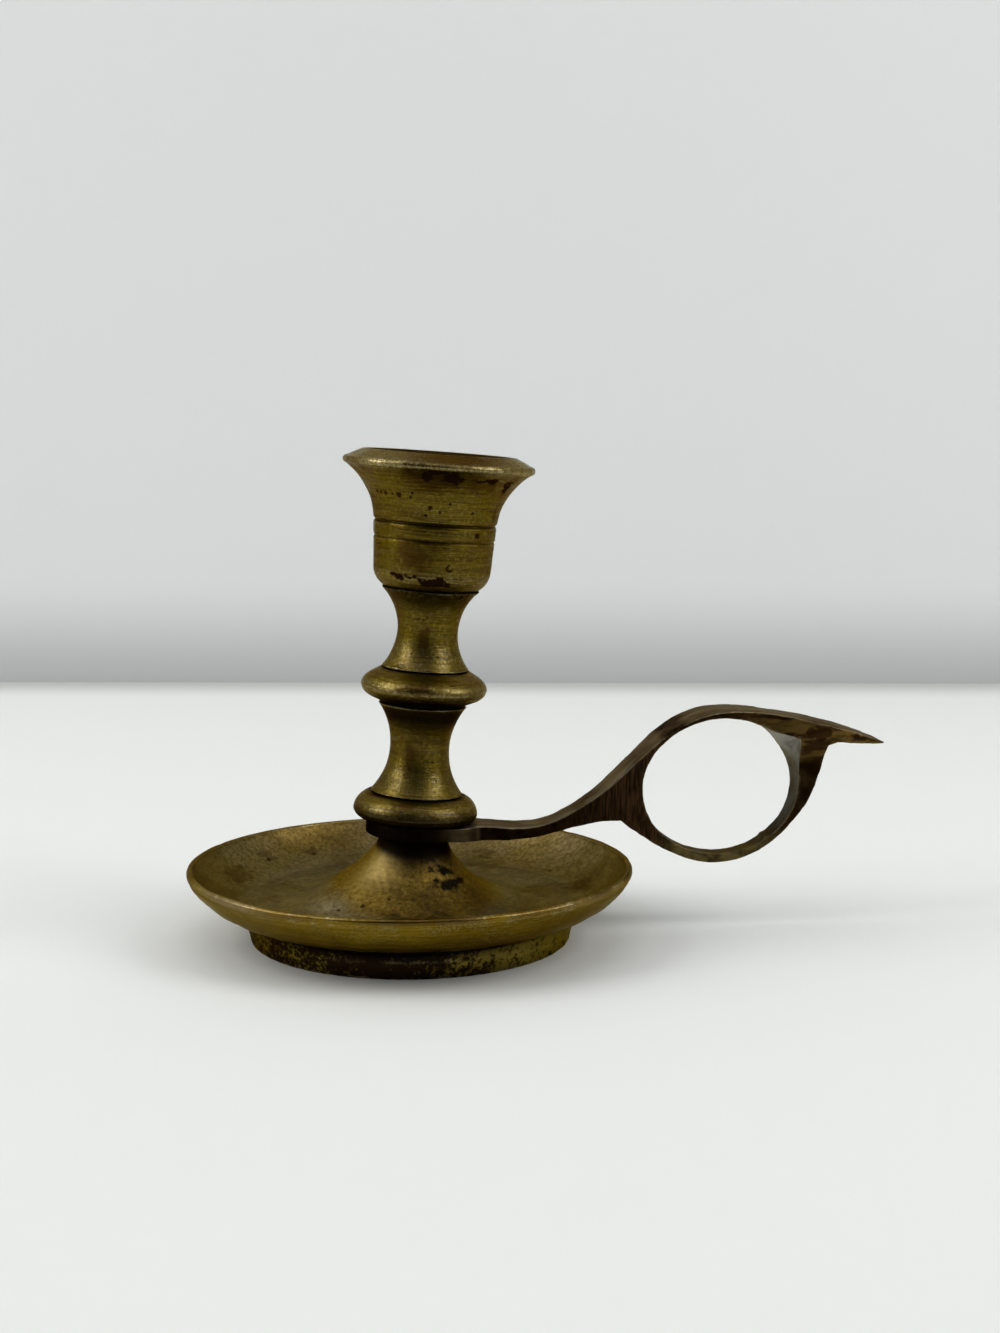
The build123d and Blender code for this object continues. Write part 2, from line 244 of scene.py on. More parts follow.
def link(name, mesh):
    """Puts a mesh, lamp or camera into the scene as an object at the origin."""
    piece = bpy.data.objects.new(name, mesh)
    bpy.context.scene.collection.objects.link(piece)
    return piece


def give_fields(mesh, fields):
    """Puts a value or a vector per point into the mesh, for its material to read."""
    for key, values in fields.items():
        vector = values.ndim == 2
        layer = mesh.attributes.new(key, "FLOAT_VECTOR" if vector else "FLOAT", "POINT")
        layer.data.foreach_set("vector" if vector else "value", values.astype(np.float32).ravel())


def hang(piece, node):
    """The piece rides on the one body, and stands for a node of the CAD model."""
    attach(piece, "root")
    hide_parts(node)


def mesh_piece(name, points, faces):
    """Makes an object from points in millimetres."""
    mesh = bpy.data.meshes.new(name)
    mesh.from_pydata((points * MM).tolist(), [], faces)
    mesh.update()
    mesh.shade_smooth()
    return link(name, mesh)


def ring_faces(rows, around, closed):
    """Quads of a grid that closes round its second direction, and round its first if closed."""
    i = np.arange(rows if closed else rows - 1)[:, None]
    j = np.arange(around)[None, :]
    here, over = i * around + j, i * around + (j + 1) % around
    up, up_over = (i + 1) % rows * around + j, (i + 1) % rows * around + (j + 1) % around
    return np.stack([here, over, up_over, up], -1).reshape(-1, 4).tolist()


def pole_faces(rows, around):
    """Triangles that close an open grid at both ends, its two poles being the points after its last."""
    j = np.arange(around)
    over, top = (j + 1) % around, (rows - 1) * around
    first = np.stack([np.full(around, rows * around), over, j], 1)
    last = np.stack([np.full(around, rows * around + 1), top + j, top + over], 1)
    return np.vstack([first, last]).tolist()


# The lathe's rings are painted as on a tube of this radius
RINGS_RADIUS = 12.0


def turned(name, section, around, place, shift, fields, node):
    """
    A turned piece: point = place(radius cos angle, radius sin angle, height),
    with the section's radius and height moved along its normal by shift. A
    section that starts and ends on the axis is closed with a point at each end.
    """
    points, along, normal, bend = section
    closed = points[0, 0] > 1e-6
    if not closed:
        ends = points[[0, -1], 1]
        points, along, normal, bend = (part[1:-1] for part in section)
    rows = len(points)
    angle = np.linspace(0, 2 * pi, around, endpoint=False)
    angle, along, radius, height, bend = np.broadcast_arrays(
        angle, along[:, None], points[:, :1], points[:, 1:], bend[:, None])
    local = np.stack([radius * np.cos(angle), radius * np.sin(angle), height], -1)
    move = shift(angle, along, radius, height, local)
    moved = radius + move * normal[:, :1]
    xyz = place(moved * np.cos(angle), moved * np.sin(angle), height + move * normal[:, 1:])
    made = fields(angle, along, radius, height, bend, xyz)
    made["turning"] = np.stack([RINGS_RADIUS * np.cos(angle), RINGS_RADIUS * np.sin(angle), along], -1)
    made = {key: field.reshape(rows * around, *field.shape[2:]) for key, field in made.items()}
    xyz, faces = xyz.reshape(-1, 3), ring_faces(rows, around, closed)
    if not closed:
        xyz = np.vstack([xyz, place(np.zeros(2), np.zeros(2), ends)])
        faces += pole_faces(rows, around)
        made = {key: np.concatenate([field, field[[0, -1]]]) for key, field in made.items()}
    piece = mesh_piece(name, xyz, faces)
    give_fields(piece.data, made)
    hang(piece, node)
    return piece


def on_stack(base):
    """Places a turned piece on the leaning axis, its height 0 at a height up the stack."""
    origin = CROSSING + STACK_UP * base
    return lambda x, y, h: (
        origin + x[..., None] * STACK_ACROSS + y[..., None] * SIDE + np.asarray(h)[..., None] * STACK_UP
    )


# Candle cup: heights from its seat on the stem. Spots are given as direction in
# degrees, height, half width and half height; pits as direction, height and size.

CUP_HEIGHT = 29.8
CUP_CORNER = (13.0, 4.2)
CUP_BAND = (13.65, 14.5)
RIM_UNDER = (20.5, 26.35)
RIM_TOP = (20.35, 28.15)
MOUTH = (16.2, CUP_HEIGHT)
SOCKET_RADIUS = 11.2
SOCKET_START = 24.8
SOCKET_FLOOR = 6.0
TAPPED_TOP = 3.6
cup_runs = [
    straight((0, TAPPED_TOP), (TAPPED_RADIUS, TAPPED_TOP), (TAPPED_RADIUS, -SPIGOT_LENGTH),
             (SPIGOT_RADIUS, -SPIGOT_LENGTH), (SPIGOT_RADIUS, 0), (10.55, 0), (10.9, 0.3)),
    arc((10.9, 0.3), (12.4, 2.02), CUP_CORNER),
    straight(CUP_CORNER, CUP_BAND),
    arc(CUP_BAND, (15.6, 21.0), RIM_UNDER),
    arc(RIM_UNDER, (21.25, 27.3), RIM_TOP, 20),
    straight(RIM_TOP, (16.95, CUP_HEIGHT), MOUTH),
    arc(MOUTH, (12.6, 27.1), (SOCKET_RADIUS, SOCKET_START), 30),
    straight((SOCKET_RADIUS, SOCKET_START), (SOCKET_RADIUS, SOCKET_FLOOR), (0, SOCKET_FLOOR)),
]
# Incised lines: height, depth, half width
CUP_LINES = ((CUP_BAND[1], 0.50, 0.34), (11.0, 0.34, 0.26))
# Stretches of the rim rubbed bright, which also stand for painted highlights: direction, half width in
# radians, strength
CUP_RUBS_AND_HIGHLIGHTS = ((-134.0, 0.26, 1), (-55.0, 0.16, 1), (-38.0, 0.10, 1), (40.0, 0.5, 1), (130.0, 0.4, 1))
CUP_CHIPS = ((-38.0, 24.6, 2.2, 1.7), (-52.0, 27.0, 1.4, 0.9))
CUP_PITS = (
    (-151.5, 20.8, 0.30), (-146.0, 20.8, 0.26), (-141.0, 20.7, 0.32), (-134.0, 20.6, 0.22),
    (-127.5, 20.5, 0.42), (-115.0, 21.2, 0.24), (-117.0, 20.3, 0.22), (-100.5, 18.3, 0.34),
    (-84.0, 19.4, 0.20), (-104.0, 16.6, 0.24), (-92.0, 17.4, 0.22), (-62.0, 17.6, 0.24),
    (-126.0, 2.6, 0.42), (-121.0, 3.3, 0.30), (-131.0, 3.0, 0.30), (-52.0, 12.7, 0.42),
)
CUP_STAINS = (
    (-102.5, 25.0, 1.5, 1.4), (-84.8, 25.2, 2.3, 1.4), (-95.0, 26.0, 4.4, 0.35),
    (-92.5, 1.9, 3.4, 1.1), (-88.0, 2.6, 2.2, 0.9), (-126.0, 3.1, 2.6, 0.8),
    (-136.0, 3.4, 1.6, 0.5), (-35.5, 23.6, 1.8, 1.6), (-60.0, 24.8, 2.4, 0.7),
    (20.0, 8.0, 5.0, 2.2), (48.0, 24.5, 5.0, 1.3), (95.0, 2.5, 4.0, 1.0), (140.0, 23.5, 3.4, 1.2),
    (120.0, 12.8, 2.6, 1.3),
)
CUP_SHADES = (
    (-112.0, 7.2, 4.2, 4.6), (-124.0, 9.4, 2.6, 3.0), (-100.0, 24.0, 9.0, 2.4),
    (-66.0, 23.5, 6.0, 2.0), (60.0, 8.0, 7.0, 4.0), (160.0, 20.0, 9.0, 3.0),
    (-31.0, 18.5, 1.0, 2.8), (-36.0, 22.5, 1.4, 1.6),
)
# A small struck ring on the cup's body: direction, height
RING_MARK = (-79.0, 5.4)

cup_section = outline(
    cup_runs, 330, 0.10, closed=False, plain=lambda r, h: step_up(0.2, -0.2, r - SOCKET_RADIUS - 0.1))
CUP_MOUTH_START = cup_section[1][np.argmax(cup_section[0][:, 1] > CUP_HEIGHT - 0.06)] + 0.4


def cup_outside(radius, along):
    """True on the cup's outer wall, up to its mouth."""
    return (radius > SOCKET_RADIUS + 0.6) & (along < CUP_MOUTH_START)


def cup_shift(angle, along, radius, height, local):
    """Outside only: uneven wear and turning waves up to the rim, less incised lines and chips."""
    front = 0.75 + 0.35 * np.cos(apart(angle, -100))
    lines = sum(depth * front * bump_at(height, at, wide) for at, depth, wide in CUP_LINES)
    worn = 0.035 * ripple(local, 6.0, 11) + turning_wave(local, along, 0.9, (9.0, 12))
    chips = 0.25 * np.clip(marks(angle, radius, height, CUP_CHIPS), 0, 1)
    below_rim = step_up(CUP_HEIGHT, CUP_HEIGHT - 0.6, height)
    return cup_outside(radius, along) * (worn * below_rim - lines - chips)


def cup_fields(angle, along, radius, height, bend, xyz):
    """Where the cup is stained, shaded, worn, grimy, polished, and inside, with painted shade and painted
    highlights on its rim, bevel and lines.
    """
    made = edge_fields(bend, xyz, 21)
    rough = 0.20 * ripple(xyz, 2.6, 22) + 0.14 * ripple(xyz, 0.9, 23)
    outside = cup_outside(radius, along)
    bevel = step_up(RIM_TOP[1] - 0.45, RIM_TOP[1] - 0.05, height)
    made["stain"] = np.where(outside, marks(angle, radius, height, CUP_STAINS) + rough, -1)
    made["shade"] = np.where(outside, marks(angle, radius, height, CUP_SHADES) + rough, -1)
    # The bevel is painted darker, most on the front: painted shade
    made["shade"] = np.maximum(made["shade"], bevel * (0.10 + facing(angle, (-84.0, 0.55, 0.50))))
    made["inside"] = step_up(0, 0.8, along - CUP_MOUTH_START)
    # Wear on the rim stays only in the stretches, which also serve as painted highlights
    rubbed = np.clip(0.12 + facing(angle, *CUP_RUBS_AND_HIGHLIGHTS), 0, 1)
    made["wear"] = made["wear"] * np.where(height > 25.0, rubbed, 1)
    # Seam and incised lines are dark with dirt; the lines are painted wider on the front, which is
    # painted shade
    front = 0.45 + facing(angle, (-96.0, 0.55, 0.75))
    lines = sum(bump_at(height, at - 0.15, wide * front) for at, depth, wide in CUP_LINES)
    seam = bump_at(height, 0.0, 0.35) * (radius > SPIGOT_RADIUS + 0.3)
    dirt_and_shade = np.clip(seam + lines * (along < CUP_MOUTH_START), 0, 1)
    made["grime"] = np.maximum(made["grime"], dirt_and_shade)
    # Paler polished bands on the lower corner, the rim nose and the bevel's sides, where painted
    # highlights fall
    side = 1 - facing(angle, (-84.0, 0.5, 0.85))
    polish = 0.4 * bump_at(height, 2.7, 1.3) + 0.9 * bevel * side + bump_at(height, 27.2, 0.9)
    made["polish"] = np.clip(polish, 0, 1) * (1 - made["inside"])
    return made


candle_cup = turned(
    "candle_cup_turned", cup_section, 280, on_stack(CUP_SEAT), cup_shift, cup_fields,
    node="candle_cup")


# Stem: heights from its seat on the eye

COLLAR_EDGE = (13.95, 1.86)
COLLAR_TOP = (10.85, 5.85)
LOWER_LIP = (10.3, 6.25)
LOWER_TOP = (9.85, 26.1)
KNOP_FOOT = (9.95, 26.8)
KNOP_TOP = (10.0, 34.0)
UPPER_FOOT = (9.75, 34.4)
STEM_RIM = (10.85, STEM_HEIGHT - 0.25)
STEM_SKIN = 6.0
SEAT_RADIUS = SPIGOT_RADIUS + SPIGOT_PLAY
SEAT_FLOOR = STEM_HEIGHT - SPIGOT_LENGTH - SPIGOT_PLAY
stem_runs = [
    straight((BORE_RADIUS, 0), (10.6, 0)),
    arc((10.6, 0.0), (12.9, 0.35), COLLAR_EDGE, 20),
    arc(COLLAR_EDGE, (13.0, 4.42), COLLAR_TOP, 40),
    straight(COLLAR_TOP, (9.75, 5.85), (9.75, 6.2), LOWER_LIP),
    arc(LOWER_LIP, (6.62, 16.8), LOWER_TOP, 60),
    straight(LOWER_TOP, (9.2, 26.25), (9.2, 26.75), KNOP_FOOT),
    through([KNOP_FOOT, (11.2, 27.35), (12.5, 27.95), (13.62, 28.95), (14.05, 30.2),
             (13.7, 31.3), (12.9, 32.2), (11.4, 33.2), KNOP_TOP], 60),
    straight(KNOP_TOP, (9.25, 34.05), (9.25, 34.3), UPPER_FOOT),
    arc(UPPER_FOOT, (6.75, 42.5), STEM_RIM, 60),
    straight(STEM_RIM, (10.5, STEM_HEIGHT), (SEAT_RADIUS, STEM_HEIGHT), (SEAT_RADIUS, SEAT_FLOOR),
             (BORE_RADIUS, SEAT_FLOOR), (BORE_RADIUS, 0)),
]
STEM_PITS = (
    (-52.5, 51.1, 0.45), (-166.5, 27.2, 0.40), (-70.0, 14.0, 0.15), (-60.0, 18.5, 0.13),
    (-64.0, 10.0, 0.14), (-104.0, 45.5, 0.14), (-98.0, 46.2, 0.12), (-120.0, 38.0, 0.12),
    (-75.0, 37.6, 0.14),
)
# Dark bands on the stem: dirt in its seams, and painted shade under the collar and the knop, at the tops
# of the balusters and on their lower flares: height, half width, strength
STEM_DIRT_AND_SHADE = (
    (6.02, 0.30, 1.0), (26.5, 0.45, 1.0), (34.2, 0.30, 1.0), (STEM_HEIGHT, 0.30, 1.0),
    (0.0, 0.9, 1.0), (9.4, 3.2, 0.28), (37.2, 2.6, 0.22), (24.0, 3.4, 0.90), (27.6, 0.8, 0.80),
    (50.2, 3.0, 0.62), (2.0, 1.4, 0.7),
)
# Pale bands, where the metal is cleaner and where painted highlights fall: height, half width, strength
STEM_POLISH_AND_HIGHLIGHT = ((9.6, 4.0, 0.35), (37.4, 3.0, 0.45), (30.3, 1.3, 0.8), (3.2, 1.2, 0.55))
STEM_STAINS = (
    (-101.0, 41.2, 1.5, 4.4), (-113.0, 14.0, 1.3, 4.6), (-100.0, 30.8, 5.0, 1.8),
    (-104.0, 5.0, 4.0, 0.9), (60.0, 40.0, 3.0, 3.4), (120.0, 15.0, 3.0, 4.0),
    (30.0, 30.0, 5.0, 2.0), (170.0, 4.0, 5.0, 1.6),
)
# Burrs on the foot of the upper baluster: direction, half width in radians, strength
STEM_BURRS = ((-137.0, 0.20, 1.0), (-155.0, 0.12, 0.5), (-55.0, 0.10, 0.45), (60.0, 0.2, 0.4))


def stem_shift(angle, along, radius, height, local):
    """Uneven wear, turning waves, burrs over the knop and a ragged top edge, none of it in the bore."""
    worn = 0.03 * ripple(local, 6.0, 31) + turning_wave(local, along, 0.8, (8.0, 32))
    burr = 0.32 * bump_at(height, 34.55, 0.30) * np.clip(facing(angle, *STEM_BURRS), 0, 1)
    ragged = 0.20 * bump_at(height, STEM_HEIGHT - 0.8, 0.5) * (ripple(local, 2.2, 33) > 0.1)
    return (radius > STEM_SKIN) * (worn + burr - ragged)


def stem_fields(angle, along, radius, height, bend, xyz):
    """Where the stem is shaded, worn, grimy, polished, and inside, with painted shade in its dark bands
    and painted highlights on its lips and knop edge; it has no stains.
    """
    made = edge_fields(bend, xyz, 41)
    rough = 0.30 * ripple(xyz, 2.6, 42) + 0.14 * ripple(xyz, 0.9, 43)
    made["stain"] = np.full(height.shape, -1.0)
    stains = marks(angle, radius, height, STEM_STAINS)
    made["shade"] = np.where(radius > STEM_SKIN, stains + 0.7 * rough, -1)
    made["inside"] = radius < STEM_SKIN
    dirt_and_shade, made["polish"] = (
        np.clip(sum(much * bump_at(height, at, wide) for at, wide, much in bands), 0, 1)
        for bands in (STEM_DIRT_AND_SHADE, STEM_POLISH_AND_HIGHLIGHT)
    )
    # Painted highlights: a pale lit lip on top of the lower baluster, which also keeps the painted shade
    # off it, a line along the knop's lower edge, and a pale line under the seat on the front
    lip = bump_at(height, LOWER_TOP[1] - 0.15, 0.17) * (radius > 9.0)
    made["grime"] = np.maximum(made["grime"], dirt_and_shade * (radius > 5.0)) * (1 - lip)
    uneven = step_up(-0.5, 0.6, ripple(xyz, 3.0, 44))
    knop_edge = 0.55 * bump_at(height, 28.4, 0.22) * (radius > 12) * uneven
    seat_lip = bump_at(height, STEM_HEIGHT - 0.5, 0.16) * (radius > 9) * facing(angle, (-72.0, 0.55, 0.7))
    made["wear"] = np.maximum.reduce([made["wear"], 0.45 * lip, knop_edge, seat_lip])
    return made


stem_section = outline(stem_runs, 350, 0.09, plain=lambda r, h: step_up(0.3, -0.3, r - 6.2))
stem = turned(
    "stem_turned", stem_section, 264, on_stack(STEM_SEAT), stem_shift, stem_fields,
    node="stem")


# Drip pan: heights from the table. Spots are given as direction in degrees,
# radius, half width and half depth; pits as direction, radius and size.

PAN_RADIUS = (pan_box[1][0] - pan_box[0][0]) / 2
BOSS_TOP = CROSSING[2] + EYE_SEAT
BOSS_UNDER = BOSS_TOP - 3.0
BOSS_RADIUS = 7.45
POCKET_RADIUS = 5.4
POCKET_TOP = BOSS_UNDER - 1.0
FLOOR = 8.5
FLOOR_UNDER = 6.3
FLOOR_START = 26.0
FOOT_RADIUS = 35.9
FOOT_TOP = 37.2
HOLLOW = 33.3
LIP_BOTTOM = 15.0
LIP_SIDE = 15.85
LIP_THICKNESS = 1.5
PAN_HEIGHT = 16.6
lip_inner = (PAN_RADIUS - LIP_THICKNESS, LIP_SIDE)
pan_runs = [
    straight((BORE_RADIUS, BOSS_UNDER), (POCKET_RADIUS, BOSS_UNDER), (POCKET_RADIUS, POCKET_TOP)),
    bezier([(POCKET_RADIUS, POCKET_TOP), (6.4, 11.9), (20.0, FLOOR_UNDER), (23.7, FLOOR_UNDER)]),
    straight((23.7, FLOOR_UNDER), (HOLLOW, FLOOR_UNDER), (HOLLOW, 0.25), (HOLLOW + 0.25, 0),
             (FOOT_RADIUS - 0.3, 0), (FOOT_RADIUS, 0.3), (FOOT_TOP - 0.1, FLOOR_UNDER - 0.1)),
    arc((FOOT_TOP, FLOOR_UNDER), (45.14, 9.78), (PAN_RADIUS, LIP_BOTTOM), 60),
    straight((PAN_RADIUS, LIP_BOTTOM), (PAN_RADIUS, LIP_SIDE)),
    arc((PAN_RADIUS, LIP_SIDE), (PAN_RADIUS - LIP_THICKNESS / 2, PAN_HEIGHT), lip_inner, 16),
    arc(lip_inner, (43.7, 10.93), (FOOT_TOP, FLOOR), 40),
    straight((FOOT_TOP, FLOOR), (FLOOR_START, FLOOR)),
    bezier([(FLOOR_START, FLOOR), (22.3, FLOOR), (8.45, 16.2), (BOSS_RADIUS, BOSS_TOP)]),
    straight((BOSS_RADIUS, BOSS_TOP), (BORE_RADIUS, BOSS_TOP), (BORE_RADIUS, BOSS_UNDER)),
]
PAN_PITS = (
    (-126.0, 19.8, 0.38), (-110.0, 17.5, 0.22), (-140.0, 22.0, 0.25), (-75.0, 24.5, 0.22),
    (-98.0, 28.0, 0.25), (135.8, 44.0, 0.40), (118.7, 43.0, 0.34), (150.0, 33.0, 0.35),
    (30.0, 40.0, 0.32), (60.0, 34.0, 0.30),
)
PAN_SOOT = ((-55.0, 11.0, 3.2, 1.4), (-58.0, 13.9, 3.4, 1.7), (-43.0, 13.4, 2.0, 0.8))
PAN_SHADES = (
    (-100.0, 22.5, 3.5, 2.2), (-78.0, 21.0, 2.6, 1.3), (135.8, 45.0, 2.4, 2.0),
    (118.7, 44.0, 2.0, 1.6), (60.0, 42.0, 3.0, 2.0), (8.0, 40.0, 6.0, 3.0), (155.0, 43.0, 6.0, 3.0),
    (-150.0, 36.0, 5.0, 3.0),
)
# Stretches of the lip rubbed bright, which also stand for painted highlights: direction, half width in
# radians, strength
LIP_RUBS_AND_HIGHLIGHTS = ((-142.0, 0.22, 1), (-112.0, 0.16, 1), (-74.0, 0.08, 1), (-48.0, 0.20, 1), (-30.0, 0.10, 1),
            (100.0, 0.5, 1), (200.0, 0.12, 1))
# Small breaks in the lip: direction, half width in millimetres
LIP_BREAKS = ((-122.0, 1.3), (-117.5, 0.9), (-50.0, 0.8), (-3.0, 1.4), (-31.0, 0.7), (35.0, 1.2),
              (88.0, 0.9), (150.0, 1.1), (-160.0, 0.8))
BREAK_DEPTH = 0.10


def on_pan(x, y, z):
    """
    The pan stands upright, but its cone leans with the stack above the floor.
    Nothing goes under the table or past the pan's radius.
    """
    z = np.maximum(z, 0)
    inward = np.minimum(1, (PAN_RADIUS - 0.005) / np.maximum(np.hypot(x, y), 1))
    x, y = x * inward, y * inward
    upright = np.stack([x, y, z], -1)
    leaning = on_stack(0)(x, y, z - CROSSING[2])
    part = (step_up(FLOOR + 0.1, 14.0, z) * step_up(30.0, 24.0, np.hypot(x, y)))[..., None]
    return (1 - part) * upright + part * leaning


def pan_shift(angle, along, radius, height, local):
    """
    Hammering, turning waves and the foot's rough skin, less the breaks in the
    lip, the hollow under it and the line round the foot.
    """
    inset, rise = PAN_RADIUS - radius, height - LIP_BOTTOM
    lip = step_up(1.8, 0.8, inset) * step_up(-0.4, 0.2, rise)
    breaks = BREAK_DEPTH * sum(
        bump_at(apart(angle, where) * PAN_RADIUS, 0, wide) for where, wide in LIP_BREAKS)
    under_lip = (0.06 + 0.22 * np.cos(angle) ** 8) * bump_at(rise, -0.15, 0.28) * (inset < 0.5)
    foot = (radius > HOLLOW + 1.5) * (height < FLOOR_UNDER) * (radius < FOOT_TOP + 0.2)
    foot_rough = 0.022 * ripple(local, 1.8, 53) + 0.020 * ripple(local, 0.9, 54)
    foot_line = 0.22 * bump_at(height, 3.6, 0.25)
    hammered = 0.05 * ripple(local, 7.0, 51) + 0.018 * ripple(local, 2.2, 52)
    swirl = turning_wave(local, along, 1.4, (14.0, 55), drift=1.5)
    return (
        hammered * (height > 0.3) * (radius > 7.0) * (1 - 0.75 * lip) + swirl * (radius > 8.0)
        - lip * breaks - under_lip + foot * (foot_rough - foot_line)
    )


def pan_fields(angle, along, radius, height, bend, xyz):
    """Which part of the pan a point lies on, and where it is sooty, shaded, grimy, worn or pale, with
    painted shade, a painted shadow and painted highlights among them.
    """
    made = edge_fields(bend, xyz, 61)
    rough = 0.30 * ripple(xyz, 2.4, 62) + 0.16 * ripple(xyz, 0.8, 63)
    upper = step_up(0, 1, along - PAN_TOP_START)
    below = upper < 0.5
    inset, rise = PAN_RADIUS - radius, height - LIP_BOTTOM
    made["inside"] = upper
    made["soot"] = np.where(upper > 0.5, marks(angle, radius, radius, PAN_SOOT) + rough, -1)
    made["shade"] = np.where(upper > 0.5, marks(angle, radius, radius, PAN_SHADES) + 0.8 * rough, -1)
    made["hidden"] = along < PAN_FOOT_START
    made["wall"] = step_up(35.0, 43.0, radius) * upper

    foot = (radius > HOLLOW - 0.2) * (radius < FOOT_TOP + 0.6) * (height < FLOOR_UNDER + 0.3) * below
    made["foot"] = foot
    direction = np.degrees(angle) - 360 * (angle > pi)
    made["foot_light"] = step_up(-98.0, -62.0, direction) + 0.45 * step_up(-105.0, -135.0, direction)

    ahead = facing(angle, (-86.0, 0.62, 1))
    behind = np.maximum(
        facing(angle, (50.0, 0.45, 0.5)) * step_up(FLOOR_START, 36.0, radius),
        facing(angle, (118.0, 0.45, 0.65)) * step_up(40.0, 46.0, radius))
    made["cone"] = np.maximum(step_up(24.0 + 9.0 * ahead, 15.0 + 7.0 * ahead, radius), behind) * upper
    # A painted highlight on the cone's left flank, where the left lamp's light falls
    halfway = step_up(7.5, 9.0, radius) * step_up(19.0, 11.0, radius)
    made["glow"] = facing(angle, (-137.0, 0.42, 1)) * halfway * upper
    # Painted pale reflection at the outer wall's left and right ends as the camera sees them
    made["flank"] = np.clip(facing(angle, (-152.0, 0.35, 1), (-22.0, 0.42, 1)), 0, 1)

    # Dark lines under the lip, in the crease under the outer wall and round its root, and along the sole:
    # dirt, with painted shade from the overhang on the root's front and a painted contact shadow along
    # the sole's front
    under_lip = (0.10 + 0.90 * np.cos(angle) ** 8) * bump_at(rise, -0.2, 0.25) * (inset < 0.6)
    under_wall = 0.8 * bump_at(height, FLOOR_UNDER, 0.8) * (radius < 39)
    root = facing(angle, (-100.0, 0.75, 0.8)) * step_up(40.5, 37.5, radius) * step_up(3.6, 5.4, height)
    sole_line = 0.75 * bump_at(height, 0.0, 1.3) * ahead * foot
    lines = under_lip + (under_wall + root) * (radius > 35.5) * below + sole_line
    # A painted shadow on the top of the cone under the eye, reaching lowest on the front
    front = (0.5 + 0.5 * np.cos(apart(angle, -84.0))) ** 2
    shadow = step_up(2.4 + 5.6 * front, 1.6 + 1.6 * front, BOSS_TOP - height) * (radius < 15) * upper
    made["grime"] = np.clip(np.maximum.reduce([made["grime"], lines, shadow]), 0, 1)

    # The lip keeps its wear only in the stretches, which also serve as painted highlights, and a pale
    # line on the foot's front is a painted highlight
    stretches = np.clip(0.06 + facing(angle, *LIP_RUBS_AND_HIGHLIGHTS), 0, 1)
    broken = 0.25 + 0.75 * step_up(-0.6, 0.9, ripple(xyz, 2.6, 64))
    foot_line = bump_at(height, 3.95, 0.16) * foot * facing(angle, (-88.0, 0.5, 0.45))
    made["wear"] = np.maximum(made["wear"] * np.where(inset < 2.5, stretches * broken, 1), foot_line)
    # Between the stretches the lip is painted darker: painted shade
    made["lip"] = step_up(1.7, 1.0, inset) * step_up(0, 0.6, rise)
    made["lip"] *= 1 - np.clip(facing(angle, *LIP_RUBS_AND_HIGHLIGHTS), 0, 1)
    return made


def pan_plain(r, h):
    """The hidden sides of the pan's hollow need fewer rows."""
    return 0.6 * ((r < POCKET_RADIUS + 0.2) | ((h < 7.9) & (r < HOLLOW - 0.2)))


pan_section = outline(pan_runs, 330, 0.12, plain=pan_plain)
PAN_FOOT_START = pan_section[1][np.argmax(pan_section[0][:, 0] > HOLLOW - 0.3)]
PAN_TOP_START = pan_section[1][np.argmax(pan_section[0][:, 1] * (pan_section[0][:, 0] > 45))]
drip_pan = turned(
    "drip_pan_turned", pan_section, 296, on_pan, pan_shift, pan_fields,
    node="drip_pan")


# Finger loop handle, side view as (along, up)

EYE_RADIUS = 10.9
HOLE = np.array([70.3, 33.3])
HOLE_HALF = np.array([18.1, 15.9])
REACH = handle_box[1][0]
ARM_ROOT = 5.0
EDGE_ROUND = 0.2
TOP_CROWN = 0.25
CROTCH = (47.3, 26.0)
ARM_TOP = (50.0, 39.2)
REST_UNDER = (96.6, 43.25)
REST_TOP = (95.0, 47.3)
ARM_TOP_LINE = [
    (15.0, 25.85), (18.0, 25.62), (21.0, 25.3), (24.0, 25.1), (28.0, 25.3), (32.0, 26.25),
    (36.0, 28.2), (40.0, 30.6), (44.0, 33.62), (47.0, 36.32), ARM_TOP]
ARM_UNDER_LINE = [
    (15.0, 22.4), (18.0, 22.3), (21.0, 22.25), (24.0, 22.35), (28.8, 22.75), (33.3, 23.8),
    (38.0, 24.95), (42.4, 25.85), (44.9, 26.1), CROTCH]
CREST_LINE = [
    ARM_TOP, (52.0, 41.05), (56.0, 44.5), (60.0, 47.3), (64.0, 49.3), (68.0, 50.45), (72.0, 50.9),
    (76.0, 50.8), (80.0, 50.35), (84.0, 49.65), (88.0, 48.93), (92.0, 48.08), REST_TOP]
STRAND_LINE = [
    CROTCH, (49.2, 24.5), (51.8, 22.6), (56.5, 19.55), (61.3, 17.15), (66.0, 15.68), (69.5, 15.28),
    (73.0, 15.5), (77.7, 17.0), (82.3, 19.7), (86.2, 23.3), (89.2, 26.95), (91.55, 31.1),
    (93.2, 36.4), (94.15, 41.0), (94.75, 42.5), (95.5, 43.1), REST_UNDER]
REST_TOP_LINE = [
    REST_TOP, (98.0, 46.55), (101.0, 45.66), (104.0, 44.6), (107.0, 43.35), (REACH, 42.25)]
REST_UNDER_LINE = [
    REST_UNDER, (99.0, 43.05), (102.0, 42.7), (105.0, 42.35), (107.0, 42.1), (REACH, 41.88)]
